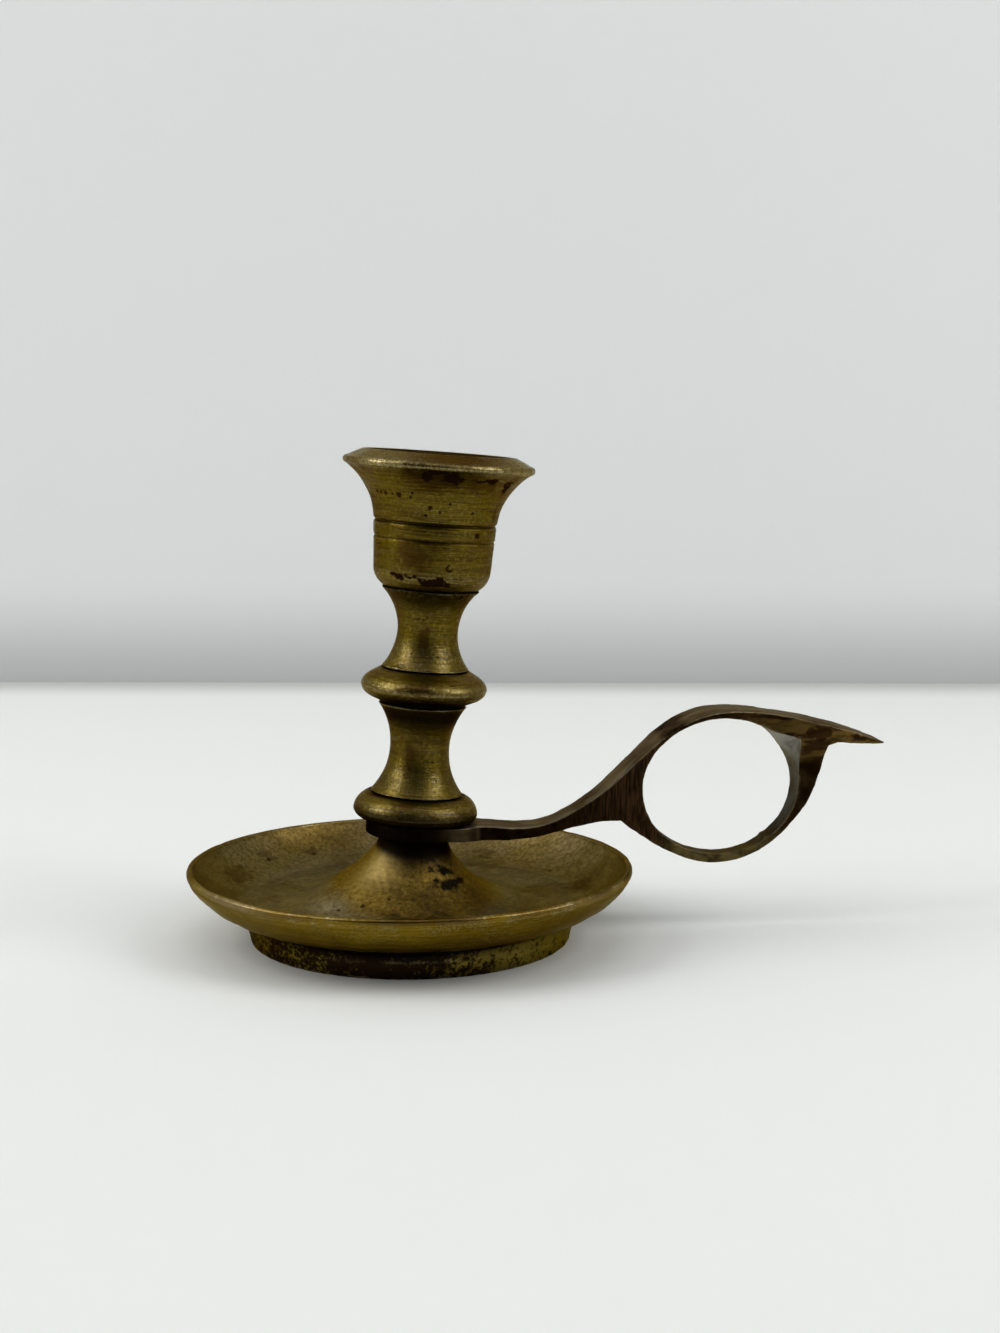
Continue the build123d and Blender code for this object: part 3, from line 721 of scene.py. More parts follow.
# Half widths: along the arm and the rest, and by the angle round the hole
ARM_HALF = [
    (ARM_ROOT, 8.9), (9.0, 8.35), (11.0, 7.8), (12.5, 7.1), (13.7, 6.15), (14.7, 5.3), (15.8, 4.85),
    (17.5, 4.65), (20.0, 4.6), (24.0, 4.35), (28.0, 4.0), (32.0, 3.75), (36.0, 3.75), (40.0, 4.0),
    (44.0, 4.4), (50.0, 5.1)]
REST_HALF = [(95.0, 6.5), (96.6, 6.35), (100.0, 5.5), (104.0, 3.9), (107.0, 2.2), (REACH, 0.4)]
LOOP_HALF = [
    (-165.0, 4.75), (-155.0, 4.0), (-145.0, 3.35), (-135.0, 2.9), (-119.0, 2.5), (-104.0, 2.3),
    (-92.0, 2.2), (-81.0, 2.25), (-65.0, 2.5), (-48.0, 2.9), (-29.0, 3.2), (-18.0, 3.4),
    (-6.0, 3.75), (8.0, 4.4), (16.0, 5.3), (20.9, 5.95), (29.0, 6.5), (33.7, 6.7), (41.0, 6.3),
    (50.0, 5.35), (60.0, 5.05), (72.0, 5.45), (84.5, 6.05), (98.0, 6.4), (111.0, 6.5),
    (126.0, 6.45), (141.0, 6.1), (157.0, 5.45), (164.0, 5.1), (180.0, 4.9), (195.0, 4.75),
    (205.0, 4.0)]
# Dark spots on the rest's side: place, size
REST_SPOTS = (
    ((90.6, -6.3, 45.6), 0.9), ((92.6, -6.2, 45.2), 1.1), ((94.4, -6.2, 45.6), 0.7),
    ((101.5, -4.8, 44.2), 0.55), ((91.0, 6.3, 45.0), 1.1), ((85.0, 6.4, 46.0), 0.8))
# The hole's near rim is cut out to a corner under the rest: direction, half width, depth
CORNER_WAY, CORNER_WIDE, CORNER_DEEP = 31.5, 10.0, 3.3
# A nick in the hole's lower edge: direction, half width, depth
NICK_WAY, NICK_WIDE, NICK_DEEP = -48.0, 2.2, 0.35
# Cells along each stretch of the loop's rim, and columns of the arm and the rest
STRAND_CELLS, REST_CELLS, CREST_CELLS, ARM_CELLS = 210, 14, 156, 38
ARM_COLUMNS, REST_COLUMNS = 130, 44
# Where the points of a ray from the hole to the rim lie
RAY_SHARES = np.array([0, 0.10, 0.28, 0.5, 0.72, 0.90, 1.0])
CURVE_STEPS = 1200


def eye_level(x, rise):
    """Height of a plane of the leaning stack at a place along the handle."""
    origin = CROSSING + STACK_UP * rise
    return origin[2] - (x - origin[0]) * STACK_UP[0] / STACK_UP[2]


def lerp(a, b, part):
    """A share of the way from a to b."""
    return a + (b - a) * part


def sample(table, at):
    """A smooth curve through a table's points, read off at given places."""
    return np.interp(at, *through(table, 900).T)


def hole_reach(turn):
    """The oval hole's radius along an angle: 1 / sqrt((cos / half length)^2 + (sin / half height)^2)."""
    return 1 / np.hypot(np.cos(turn) / HOLE_HALF[0], np.sin(turn) / HOLE_HALF[1])


def block(top_x, under_x, top_line, under_line, edge):
    """
    Columns of points from the under line to the top line, spaced as on the
    edge that the block shares with the loop. Also gives each column's rounding.
    """
    under = np.stack([under_x, sample(under_line, under_x)], -1)
    top = np.stack([top_x, sample(top_line, top_x)], -1)
    part = np.linalg.norm(edge - edge[0], axis=1) / np.linalg.norm(edge[-1] - edge[0])
    tall = np.linalg.norm(top - under, axis=1)
    soft = np.minimum(EDGE_ROUND, 0.25 * tall)
    low = soft / tall
    high = low + np.minimum(TOP_CROWN, 0.15 * tall) / tall
    part = low[:, None] + (1 - low - high)[:, None] * part
    part[:, 0], part[:, -1] = 0, 1
    return under[:, None] + (top - under)[:, None] * part[:, :, None], soft


def cells(ids):
    """Quads of a grid of point numbers."""
    return np.stack([ids[:-1, :-1], ids[1:, :-1], ids[1:, 1:], ids[:-1, 1:]], -1).reshape(-1, 4)


def side_sheet():
    """
    The cells of the side view in three blocks that share their edges: a ring
    round the hole, r = near + (far - near) share along each angle, the arm and
    the rest, point = under + (top - under) share. Returns points, cells, half
    widths, and for the rim how far it is rounded and crowned.
    """
    root = np.array([ARM_ROOT, 8.0, 11.0])
    arm_top = [(x, eye_level(x, EYE_SEAT + EYE_THICKNESS) - 0.06) for x in root] + ARM_TOP_LINE
    arm_under = [(x, eye_level(x, EYE_SEAT) + 0.06) for x in root] + ARM_UNDER_LINE
    stretches = (
        through(STRAND_LINE, CURVE_STEPS), np.linspace(REST_UNDER, REST_TOP, 40),
        through(CREST_LINE, CURVE_STEPS)[::-1], np.linspace(ARM_TOP, CROTCH, 80))
    rim = np.vstack(stretches)
    rim_turn = np.unwrap(np.arctan2(rim[:, 1] - HOLE[1], rim[:, 0] - HOLE[0]))
    starts = np.cumsum([0] + [len(stretch) for stretch in stretches[:3]])
    stops = [*rim_turn[starts], rim_turn[0] + 2 * pi]
    counts = (STRAND_CELLS, REST_CELLS, CREST_CELLS, ARM_CELLS)
    turn = np.concatenate([
        np.linspace(a, b, n, endpoint=False) for a, b, n in zip(stops, stops[1:], counts)])
    far = np.interp(turn, rim_turn, np.hypot(*(rim - HOLE).T))
    near = hole_reach(turn) - NICK_DEEP * bump_at(apart(turn, NICK_WAY), 0, radians(NICK_WIDE))
    wall = far - near
    around, rows = len(turn), len(RAY_SHARES)
    first_rest, first_crest, first_arm = np.cumsum(counts)[:3]
    on_crest = (np.arange(around) >= first_crest) & (np.arange(around) <= first_arm)
    crown = np.where(on_crest, np.minimum(TOP_CROWN, 0.12 * wall), 0.0)
    soft = np.minimum(EDGE_ROUND, 0.18 * wall)
    radius = lerp((near + soft)[:, None], (far - soft - crown)[:, None], RAY_SHARES)
    radius[:, 0], radius[:, -1] = near, far
    loop = HOLE + radius[:, :, None] * np.stack([np.cos(turn), np.sin(turn)], -1)[:, None, :]
    loop_wide = sample(LOOP_HALF, np.degrees(turn))

    on_arm = (-np.arange(ARM_CELLS + 1)) % around
    on_rest = np.arange(first_rest, first_crest + 1)
    step = np.linspace(0, 1, ARM_COLUMNS, endpoint=False)
    arm, arm_soft = block(
        lerp(ARM_ROOT, ARM_TOP[0], step), lerp(ARM_ROOT, CROTCH[0], step), arm_top, arm_under,
        loop[on_arm, -1])
    arm_wide = lerp(sample(ARM_HALF, arm[:, :, 0]), loop_wide[on_arm], step_up(0.75, 1.0, step)[:, None])
    step = np.linspace(1, 0, REST_COLUMNS, endpoint=False)[::-1]
    rest, rest_soft = block(
        lerp(REST_TOP[0], REACH, step), lerp(REST_UNDER[0], REACH, step), REST_TOP_LINE, REST_UNDER_LINE,
        loop[on_rest, -1])
    rest_wide = sample(REST_HALF, rest[:, :, 0])
    rest_wide = lerp(loop_wide[on_rest], rest_wide, step_up(0.0, 0.3, step)[:, None])

    loop_ids = np.arange(around * rows).reshape(around, rows)
    arm_ids = np.arange(arm[..., 0].size).reshape(arm.shape[:2]) + loop_ids.size
    rest_ids = np.arange(rest[..., 0].size).reshape(rest.shape[:2]) + loop_ids.size + arm_ids.size
    crowned = np.zeros(loop_ids.size + arm_ids.size + rest_ids.size)
    crowned[loop_ids[:, -1]] = crown
    crowned[arm_ids[:, -1]] = TOP_CROWN
    rest_tall = np.linalg.norm(rest[:, -1] - rest[:, 0], axis=1)
    crowned[rest_ids[:, -1]] = np.minimum(TOP_CROWN, 0.15 * rest_tall)
    faces = np.vstack([
        cells(np.vstack([loop_ids, loop_ids[:1]]))[:, ::-1],
        cells(np.vstack([arm_ids, loop_ids[on_arm, -1]])),
        cells(np.vstack([loop_ids[on_rest, -1], rest_ids]))])
    points = np.vstack([part.reshape(-1, 2) for part in (loop, arm, rest)])
    wide = np.concatenate([np.repeat(loop_wide, rows), arm_wide.ravel(), rest_wide.ravel()])
    rounding = np.concatenate([
        np.repeat(soft, rows), np.repeat(arm_soft, ARM_CELLS + 1), np.repeat(rest_soft, REST_CELLS + 1)])
    return points, faces, wide, rounding, crowned


def cut_corner(points):
    """
    Moves the hole's near rim out to a corner: along the direction from the
    hole's middle by depth exp(-(angle / width) to the power 1.4), fading to
    nothing at mid thickness and over a few millimetres outwards.
    """
    x, z = points[..., 0] - HOLE[0], points[..., 2] - HOLE[1]
    turn, reach = np.arctan2(z, x), np.hypot(x, z)
    away = np.abs(turn - radians(CORNER_WAY)) / radians(CORNER_WIDE)
    fade = step_up(1.0, -5.5, points[..., 1]) * step_up(8.5, 0.0, reach - hole_reach(turn))
    push = CORNER_DEEP * np.exp(-away ** 1.4) * fade
    return points + push[..., None] * np.stack([np.cos(turn), 0 * turn, np.sin(turn)], -1)


def casting(across=14):
    """
    The sheet's two faces at y = -half width and + half width, joined round
    every rim by rows whose section is a rectangle with rounded corners: inset
    by rounding (1 - sin a) and, on the top, by crown (y / half width)^2.
    """
    flat, quads, wide, rounding, crowned = side_sheet()
    one, two = flat[quads[:, 1]] - flat[quads[:, 0]], flat[quads[:, 2]] - flat[quads[:, 0]]
    area = one[:, 0] * two[:, 1] - one[:, 1] * two[:, 0]
    quads = np.where(area[:, None] > 0, quads, quads[:, ::-1])
    count = len(flat)
    # The rim's edges are those that only one cell has
    a, b = quads.ravel(), np.roll(quads, -1, axis=1).ravel()
    lone = ~np.isin(a * count + b, b * count + a)
    start, end = a[lone], b[lone]
    after, before = np.zeros(count, int), np.zeros(count, int)
    after[start], before[end] = end, start
    rim = np.unique(start)
    along = flat[after[rim]] - flat[before[rim]]
    along /= np.linalg.norm(along, axis=1)[:, None]
    inward = np.stack([-along[:, 1], along[:, 0]], -1)
    half = wide[rim]
    soft = np.minimum(rounding[rim], 0.4 * half)
    turns = np.radians([0, 30, 60, 90])[:, None]
    side = half - soft * (1 - np.cos(turns))
    inset = soft * (1 - np.sin(turns))
    flat_rows = np.linspace(1, -1, across)[1:-1, None] * (half - soft)
    y = np.vstack([-side, -flat_rows, side[::-1]])
    inset = np.vstack([inset, 0 * flat_rows, inset[::-1]]) + crowned[rim] * (y / half) ** 2
    ring = flat[rim] + inward * inset[:, :, None]
    flat[rim] = ring[0]
    strip = np.stack([ring[..., 0], y, ring[..., 1]], -1)[1:-1].reshape(-1, 3)
    faces = (np.stack([flat[:, 0], way * wide, flat[:, 1]], -1) for way in (-1, 1))
    ids = np.zeros((len(y), count), int)
    ids[0, rim] = rim
    ids[-1, rim] = rim + count
    ids[1:-1, rim] = np.arange(len(strip)).reshape(-1, len(rim)) + 2 * count
    walls = np.stack([ids[:-1, end], ids[:-1, start], ids[1:, start], ids[1:, end]], -1).reshape(-1, 4)
    quads = np.vstack([quads, quads[:, ::-1] + count, walls])
    return cut_corner(np.vstack([*faces, strip])), quads.tolist()


def eye_disc(around=220, soft=0.4):
    """
    The flat eye between boss and stem: a ring about the leaning axis, its
    section a rectangle with round corners.
    """
    low, high = EYE_SEAT, EYE_SEAT + EYE_THICKNESS
    turns = np.linspace(0, pi / 2, 4)
    rise, run = soft * (1 - np.cos(turns)), soft * np.sin(turns)
    face = np.linspace(BORE_RADIUS, EYE_RADIUS - soft, 9)
    edge = np.linspace(low + soft, high - soft, 8)[1:-1]
    section = np.vstack([
        np.stack([face[:-1], np.full(8, low)], -1),
        np.stack([EYE_RADIUS - soft + run, low + rise], -1),
        np.stack([np.full(6, EYE_RADIUS), edge], -1),
        np.stack([EYE_RADIUS - rise, high - soft + run], -1),
        np.stack([face[:-1][::-1], np.full(8, high)], -1),
    ])
    turn = np.linspace(0, 2 * pi, around, endpoint=False)
    radius, height = section[:, :1], section[:, 1:]
    points = on_stack(0)(radius * np.cos(turn), radius * np.sin(turn), height + 0 * turn)
    return points.reshape(-1, 3), ring_faces(len(section), around, True)


def merged(name, base, tool):
    """One closed mesh that is the union of two."""
    join = base.modifiers.new("union", "BOOLEAN")
    join.operation, join.solver, join.object = "UNION", "EXACT", tool
    bpy.context.view_layer.update()
    mesh = bpy.data.meshes.new_from_object(base.evaluated_get(bpy.context.evaluated_depsgraph_get()))
    mesh.name = name
    for spent in (base, tool):
        bpy.data.objects.remove(spent)
    mesh.shade_smooth()
    return mesh


def read_out(items, key, width, kind=np.float32):
    """One value or vector of each of a mesh's items, as an array."""
    values = np.empty(len(items) * width, kind)
    items.foreach_get(key, values)
    return values.reshape(-1, width)


def outward_turn(mesh, points, normals):
    """
    How sharply the surface turns outwards at each point, in turns per
    millimetre: the mean over its edges of (normal change . step) / step squared.
    """
    i, j = read_out(mesh.edges, "vertices", 2, np.int32).T
    step = points[j] - points[i]
    turn = ((normals[j] - normals[i]) * step).sum(1) / np.maximum((step ** 2).sum(1), 1e-4)
    total, edges = (
        np.bincount(i, each, len(points)) + np.bincount(j, each, len(points)) for each in (turn, None))
    return total / np.maximum(edges, 1)


arm_shell, eye_shell = mesh_piece("arm_shell", *casting()), mesh_piece("eye_shell", *eye_disc())
cast = merged("finger_loop_handle_cast", arm_shell, eye_shell)
points = read_out(cast.vertices, "co", 3).astype(float) / MM
normals = read_out(cast.vertex_normals, "vector", 3).astype(float)
edge = outward_turn(cast, points, normals)
side_face = step_up(0.6, 0.9, np.abs(normals[:, 1]))
# File marks 0.62 mm apart, nearly upright and a little wavy
file_way = points[:, 0] + 0.10 * (points[:, 2] - 30) + 0.35 * ripple(points, 4.0, 71)
filed = np.sin(2 * pi * file_way / 0.62) * side_face
web = step_up(57, 51, points[:, 0]) * step_up(34, 42, points[:, 0])
# The eye keeps its shape, because boss and stem seat on it
free = step_up(11.2, 12.6, np.hypot(points[:, 0] - CROSSING[0] - 0.4, points[:, 1]))
uneven = 0.030 * ripple(points, 3.2, 72) + 0.018 * ripple(points, 1.4, 73) + 0.022 * filed * web
nicks = 0.10 * step_up(0.7, 2.2, edge) * step_up(0.9, 1.9, ripple(points, 1.5, 74))
points = points + normals * (free * (uneven - nicks))[:, None]
cast.vertices.foreach_set("co", (points * MM).astype(np.float32).ravel())
cast.update()

x, y, z = points.T
way_round = np.arctan2(z - HOLE[1], x - HOLE[0])
hole_turn = np.hypot((x - HOLE[0]) / HOLE_HALF[0], (z - HOLE[1]) / HOLE_HALF[1])
inward = -(np.cos(way_round) * normals[:, 0] + np.sin(way_round) * normals[:, 2])
loop_inside = step_up(0.45, 0.75, inward) * step_up(1.26, 1.22, hole_turn)
loop_inside *= 1 - 0.72 * bump_at(way_round, radians(-55), radians(42))
give_fields(cast, {
    # The top is painted paler, as light from above
    "top": step_up(0.30, 0.62, normals[:, 2]) * step_up(1.04, 1.06, hole_turn) * step_up(21, 23, z),
    "side": side_face,
    "loop_inside": loop_inside,
    "corner": loop_inside * bump_at(way_round, radians(CORNER_WAY + 6.0), radians(17.0)),
    "edge": step_up(0.5, 1.8, edge),
    "along": x,
    "rest": step_up(70, 86, x) * step_up(38, 42, z),
    # The eye is near black with dirt and painted shade; the lug's sides are painted paler where light
    # falls on them
    "eye": step_up(10.0, 4.0, x),
    "lug": step_up(4.0, 9.0, x) * step_up(15.6, 14.6, x) * side_face,
    "sole": step_up(23.5, 18.5, z) * step_up(54.0, 62.0, x),
})
handle = link("finger_loop_handle_cast", cast)
hang(handle, "finger_loop_handle")


# Threaded rod: heights up the stack's axis from the crossing

ROD_RADIUS = 2.5
PITCH = 0.8
THREAD_DEPTH = 0.43
THREADED = 13.0
ROD_NOSE = 0.5
ROD_GRIP = 7.8
ROD_FROM = EYE_SEAT - 9.5
ROD_TO = CUP_SEAT - SPIGOT_LENGTH + ROD_GRIP


def threaded_rod(rows=420, around=36):
    """
    Radius = outer radius minus a depth times a triangle wave of
    (height / pitch - angle / full turn), cut only near both ends.
    """
    share = np.linspace(0, 1, rows)
    stops = (ROD_FROM, ROD_FROM + THREADED, ROD_TO - THREADED, ROD_TO)
    height = np.interp(share, (0, 0.62, 0.68, 1), stops)[:, None]
    turn = np.linspace(0, 2 * pi, around, endpoint=False)
    wave = np.abs((height / PITCH - turn / (2 * pi)) % 1 * 2 - 1)
    cut = step_up(stops[1], stops[1] - 1.2, height) + step_up(stops[2], stops[2] + 1.2, height)
    nose = step_up(ROD_FROM + 0.6, ROD_FROM, height) + step_up(ROD_TO - 0.6, ROD_TO, height)
    radius = ROD_RADIUS - THREAD_DEPTH * wave * cut - ROD_NOSE * nose
    place = on_stack(0)
    points = place(radius * np.cos(turn), radius * np.sin(turn), height + 0 * turn).reshape(-1, 3)
    ends = place(np.zeros(2), np.zeros(2), np.array([ROD_FROM, ROD_TO]))
    faces = ring_faces(rows, around, False) + pole_faces(rows, around)
    return mesh_piece("tie_rod_threaded", np.vstack([points, ends]), faces)


tie_rod = threaded_rod()
hang(tie_rod, "tie_rod")


# Finishes

class Value:
    """A node's output. Adding, subtracting or multiplying it adds a node that does so."""

    def __init__(self, finish, socket):
        self.finish, self.socket = finish, socket

    def __add__(self, other):
        return self.finish.calc("ADD", self, other)

    def __mul__(self, other):
        return self.finish.calc("MULTIPLY", self, other)

    def __sub__(self, other):
        return self.finish.calc("SUBTRACT", self, other)

    def __rsub__(self, other):
        return self.finish.calc("SUBTRACT", other, self)


class Finish:
    """A finish under construction: each call adds one node and returns its output."""

    def __init__(self, name, metallic=1.0):
        self.material = bpy.data.materials.new(name)
        self.material.use_nodes = True
        self.tree = self.material.node_tree
        self.shader = self.tree.nodes["Principled BSDF"]
        self.set(Metallic=metallic)
        self.object_place = self.add("ShaderNodeTexCoord", "Object")

    def put(self, socket, value):
        if isinstance(value, Value):
            self.tree.links.new(value.socket, socket)
        else:
            colour = isinstance(value, tuple) and len(value) == 3 and socket.type == "RGBA"
            socket.default_value = (*value, 1) if colour else value

    def set(self, **inputs):
        """Sets the shader's own sockets."""
        for key, value in inputs.items():
            self.put(self.shader.inputs[key.replace("_", " ")], value)

    def add(self, kind, output, settings=None, **inputs):
        """Adds a node: inputs by name, or by number after an i."""
        made = self.tree.nodes.new(kind)
        for key, value in (settings or {}).items():
            setattr(made, key, value)
        for key, value in inputs.items():
            self.put(made.inputs[int(key[1:]) if key[1:].isdigit() else key], value)
        return Value(self, made.outputs[output])

    def field(self, name, output="Fac"):
        return self.add("ShaderNodeAttribute", output, {"attribute_name": name})

    def stretch(self, place, scale, turn=(0, 0, 0)):
        return self.add("ShaderNodeMapping", 0, i0=place, i2=turn, i3=scale)

    def noise(self, place, scale, detail=3.0, rough=0.55):
        return self.add(
            "ShaderNodeTexNoise", "Fac", Vector=place, Scale=scale, Detail=detail, Roughness=rough)

    def span(self, value, low, high, start=0.0, end=1.0):
        return self.add("ShaderNodeMapRange", 0, {"interpolation_type": "SMOOTHSTEP"},
                        i0=value, i1=low, i2=high, i3=start, i4=end)

    def calc(self, how, a, b=0.0):
        return self.add("ShaderNodeMath", 0, {"operation": how}, i0=a, i1=b)

    def most(self, first, *others):
        for other in others:
            first = self.calc("MAXIMUM", first, other)
        return first

    def blend(self, part, a, b):
        return self.add("ShaderNodeMix", 2, {"data_type": "RGBA"}, i0=part, i6=a, i7=b)

    def layers(self, base, *coats):
        """Lays colours over a base one after the other, each where its part is 1."""
        for part, colour in coats:
            base = self.blend(part, base, colour)
        return base

    def distance(self, spot):
        """Metres from a place given in millimetres."""
        return self.add("ShaderNodeVectorMath", "Value", {"operation": "DISTANCE"}, i0=self.object_place,
                        i1=tuple(spot * MM))

    def bump(self, height, distance):
        self.set(Normal=self.add("ShaderNodeBump", 0, Strength=1.0, Distance=distance, Height=height))


# Colours, pairs from dark to pale
OLIVE = (0.126, 0.086, 0.004)
OLIVE_PALE = (0.240, 0.184, 0.030)
OLIVE_DEEP = (0.056, 0.034, 0.002)
BROWN = (0.066, 0.033, 0.006)
DARK_BROWN = (0.018, 0.008, 0.004)
# GREY_BRASS, the paler polished metal, and BRIGHT, the rubbed metal, also serve as painted highlights
GREY_BRASS = (0.265, 0.212, 0.095)
BRIGHT = (0.61, 0.51, 0.29)
# BLACK is dirt and also painted shade
BLACK = (0.003, 0.002, 0.002)
DISH = ((0.108, 0.084, 0.045), (0.214, 0.173, 0.104))
DISH_WALL = ((0.092, 0.066, 0.024), (0.165, 0.123, 0.052))
DISH_CLOUD = (0.056, 0.039, 0.016)
DISH_SHADE = (0.042, 0.025, 0.009)
CONE = ((0.090, 0.051, 0.004), (0.185, 0.116, 0.016))
# Colour of the painted highlight on the cone
CONE_PAINTED_HIGHLIGHT = (0.34, 0.25, 0.085)
PAN_OUTSIDE = ((0.148, 0.093, 0.005), (0.248, 0.163, 0.011))
PAN_CLOUD = (0.105, 0.058, 0.007)
PAN_FLECK = (0.300, 0.235, 0.070)
# Colour of the painted pale reflection at the pan's ends
PAN_FLANK = (0.242, 0.180, 0.108)
PAN_FOOT = ((0.024, 0.013, 0.005), (0.225, 0.165, 0.028))
SOOT = (0.006, 0.005, 0.004)
CAST_SKIN = ((0.009, 0.004, 0.001), (0.024, 0.013, 0.005))
FILED = ((0.012, 0.006, 0.003), (0.048, 0.025, 0.010))
REST_BROWN = ((0.026, 0.012, 0.004), (0.140, 0.088, 0.022))
# The handle's top, painted paler as light from above
TOP_PAINTED_LIGHT = ((0.150, 0.121, 0.083), (0.280, 0.235, 0.170))
LOOP_GREY = (0.175, 0.172, 0.150)
CORNER_GREY = (0.520, 0.510, 0.450)
STRAND_OLIVE = (0.125, 0.095, 0.034)
# The lug's sides, painted paler where light falls on them
LUG_OLIVE = (0.085, 0.062, 0.030)
CAST_CLOUD = (0.026, 0.015, 0.007)
SPOT_BROWN = (0.020, 0.008, 0.003)
EDGE_BRASS = (0.26, 0.20, 0.10)
# Near black of the eye: dirt and painted shade
EYE_BLACK = (0.006, 0.004, 0.002)


def circle_point(way, radius):
    """Across and sideways, from a direction in degrees."""
    return radius * np.array([cos(radians(way)), sin(radians(way))])


def wall_places(section, keep, place, spots):
    """Where spots lie on a turned piece: a direction and a height, the radius read off its section."""
    radius, height = section[0][keep].T
    return [place(*circle_point(way, np.interp(at, height, radius)), at) for way, at, *size in spots]


def floor_places(spots):
    """Where spots lie on the pan: a direction and a radius, the height read off its section."""
    radius, height = pan_section[0][pan_section[1] > PAN_TOP_START][::-1].T
    return [on_pan(*circle_point(way, at), np.interp(at, radius, height)) for way, at, *size in spots]


def pit_mask(f, places, pits, fine=2400.0):
    """1 inside any of a set of small ragged round pits, whose last value is a radius in millimetres."""
    ragged = f.noise(f.object_place, fine, 2.0, 0.6)
    return f.most(*(
        f.span(ragged * (1.6 * size * MM) + f.distance(place), 2.55 * size * MM, 2.05 * size * MM)
        for place, (*_, size) in zip(places, pits)
    ))


def glint(f, grain, clean, polish=0.0):
    """
    Pale fine glints in the highlights: a thin clear coat that comes and goes
    with the grain where the surface is clean. The tint keeps the metal from
    turning white where it is seen at a slant.
    """
    weight = f.span(grain, 0.40, 0.60, 0.06, 0.24) * polish + f.span(grain, 0.50, 0.66, 0.02, 0.42)
    f.set(Coat_Weight=weight * clean, Coat_Roughness=0.18, Coat_IOR=1.7)
    f.set(Specular_Tint=(0.50, 0.42, 0.17))


def turned_brass(name, places, pits, ring=None):
    """
    Aged lathe-turned brass: rings of fine lines, thin dark scores where a noise
    along the section crosses its middle, brown clouds, stains, pits, dark
    corners with painted shade, rubbed edges with painted highlights, and paler
    polished bands that are partly painted highlight. A ring is a struck mark: a
    crescent between two circles.
    """
    f = Finish(name)
    place, rings = f.object_place, f.field("turning", "Vector")
    lines = f.noise(f.stretch(rings, (0.05, 0.05, 2.6)), 1.0, 5.0, 0.7)
    hair = f.noise(f.stretch(rings, (0.12, 0.12, 9.0)), 1.0, 3.0, 0.6)
    cloud = f.noise(place, 110.0, 4.0, 0.6)
    grain = f.noise(place, 1300.0, 4.0, 0.65)
    specks = f.noise(place, 2600.0, 2.0, 0.6)
    scores = f.noise(f.stretch(rings, (0.035, 0.035, 0.75)), 1.0, 2.0, 0.5)
    scores = f.span(f.calc("ABSOLUTE", scores - 0.5), 0.016, 0.004)
    scores = scores * f.span(f.noise(f.stretch(rings, (0.12, 0.12, 0.5)), 1.0), 0.42, 0.60)
    pit = pit_mask(f, places, pits)
    if ring is not None:
        disc = f.span(f.distance(ring), 0.95 * MM, 0.75 * MM)
        inner = f.distance(ring + np.array([0.32, 0, 0.22]))
        pit = f.most(pit, disc * f.span(inner, 0.44 * MM, 0.62 * MM))
    # The polish field is paler metal that is partly painted highlight, the wear field holds rubbed edges
    # and painted highlights, and the grime field holds dirt and painted shade
    polish, shade = f.field("polish"), f.field("shade")
    stain = f.span(grain * 0.5 + (f.field("stain") - 0.25), 0.04, 0.20)
    fleck = f.span(specks, 0.66, 0.74) * 0.7
    rub = f.field("wear") * f.span(grain + lines, 0.80, 1.20)
    dirt_and_shade = f.most(f.field("grime"), f.field("inside") * 0.75)
    f.set(Base_Color=f.layers(
        f.blend(f.span(lines * 0.6 + hair * 0.4, 0.34, 0.64), OLIVE_DEEP, OLIVE),
        (f.span(grain, 0.45, 0.75) * 0.5, OLIVE_PALE),
        (polish * f.span(grain, 0.40, 0.62, 0.15, 0.65), GREY_BRASS),
        (f.span(cloud, 0.48, 0.70) * 0.45, BROWN),
        (f.span(shade, 0.0, 0.55) * 0.75, BROWN),
        (stain, DARK_BROWN),
        (f.most(fleck, pit * 0.9, scores * 0.65), DARK_BROWN),
        (rub * 0.8, BRIGHT),
        (dirt_and_shade * 0.96, BLACK),
    ))
    rough = f.most(f.span(grain + lines, 0.7, 1.3, 0.42, 0.27), f.most(dirt_and_shade, stain) * 0.62)
    f.set(Roughness=rough - rub * 0.08 - polish * 0.06)
    raised = lines * 0.8 + hair * 0.6 + grain * 0.9
    f.bump(raised - fleck * 0.6 - f.most(pit, scores * 0.5) * 1.6, 0.00006)
    dull = f.calc("MINIMUM", f.most(dirt_and_shade, stain, pit, shade), 1.0)
    glint(f, specks * 0.45 + hair * 0.55, 1.0 - dull, polish)
    return f.material


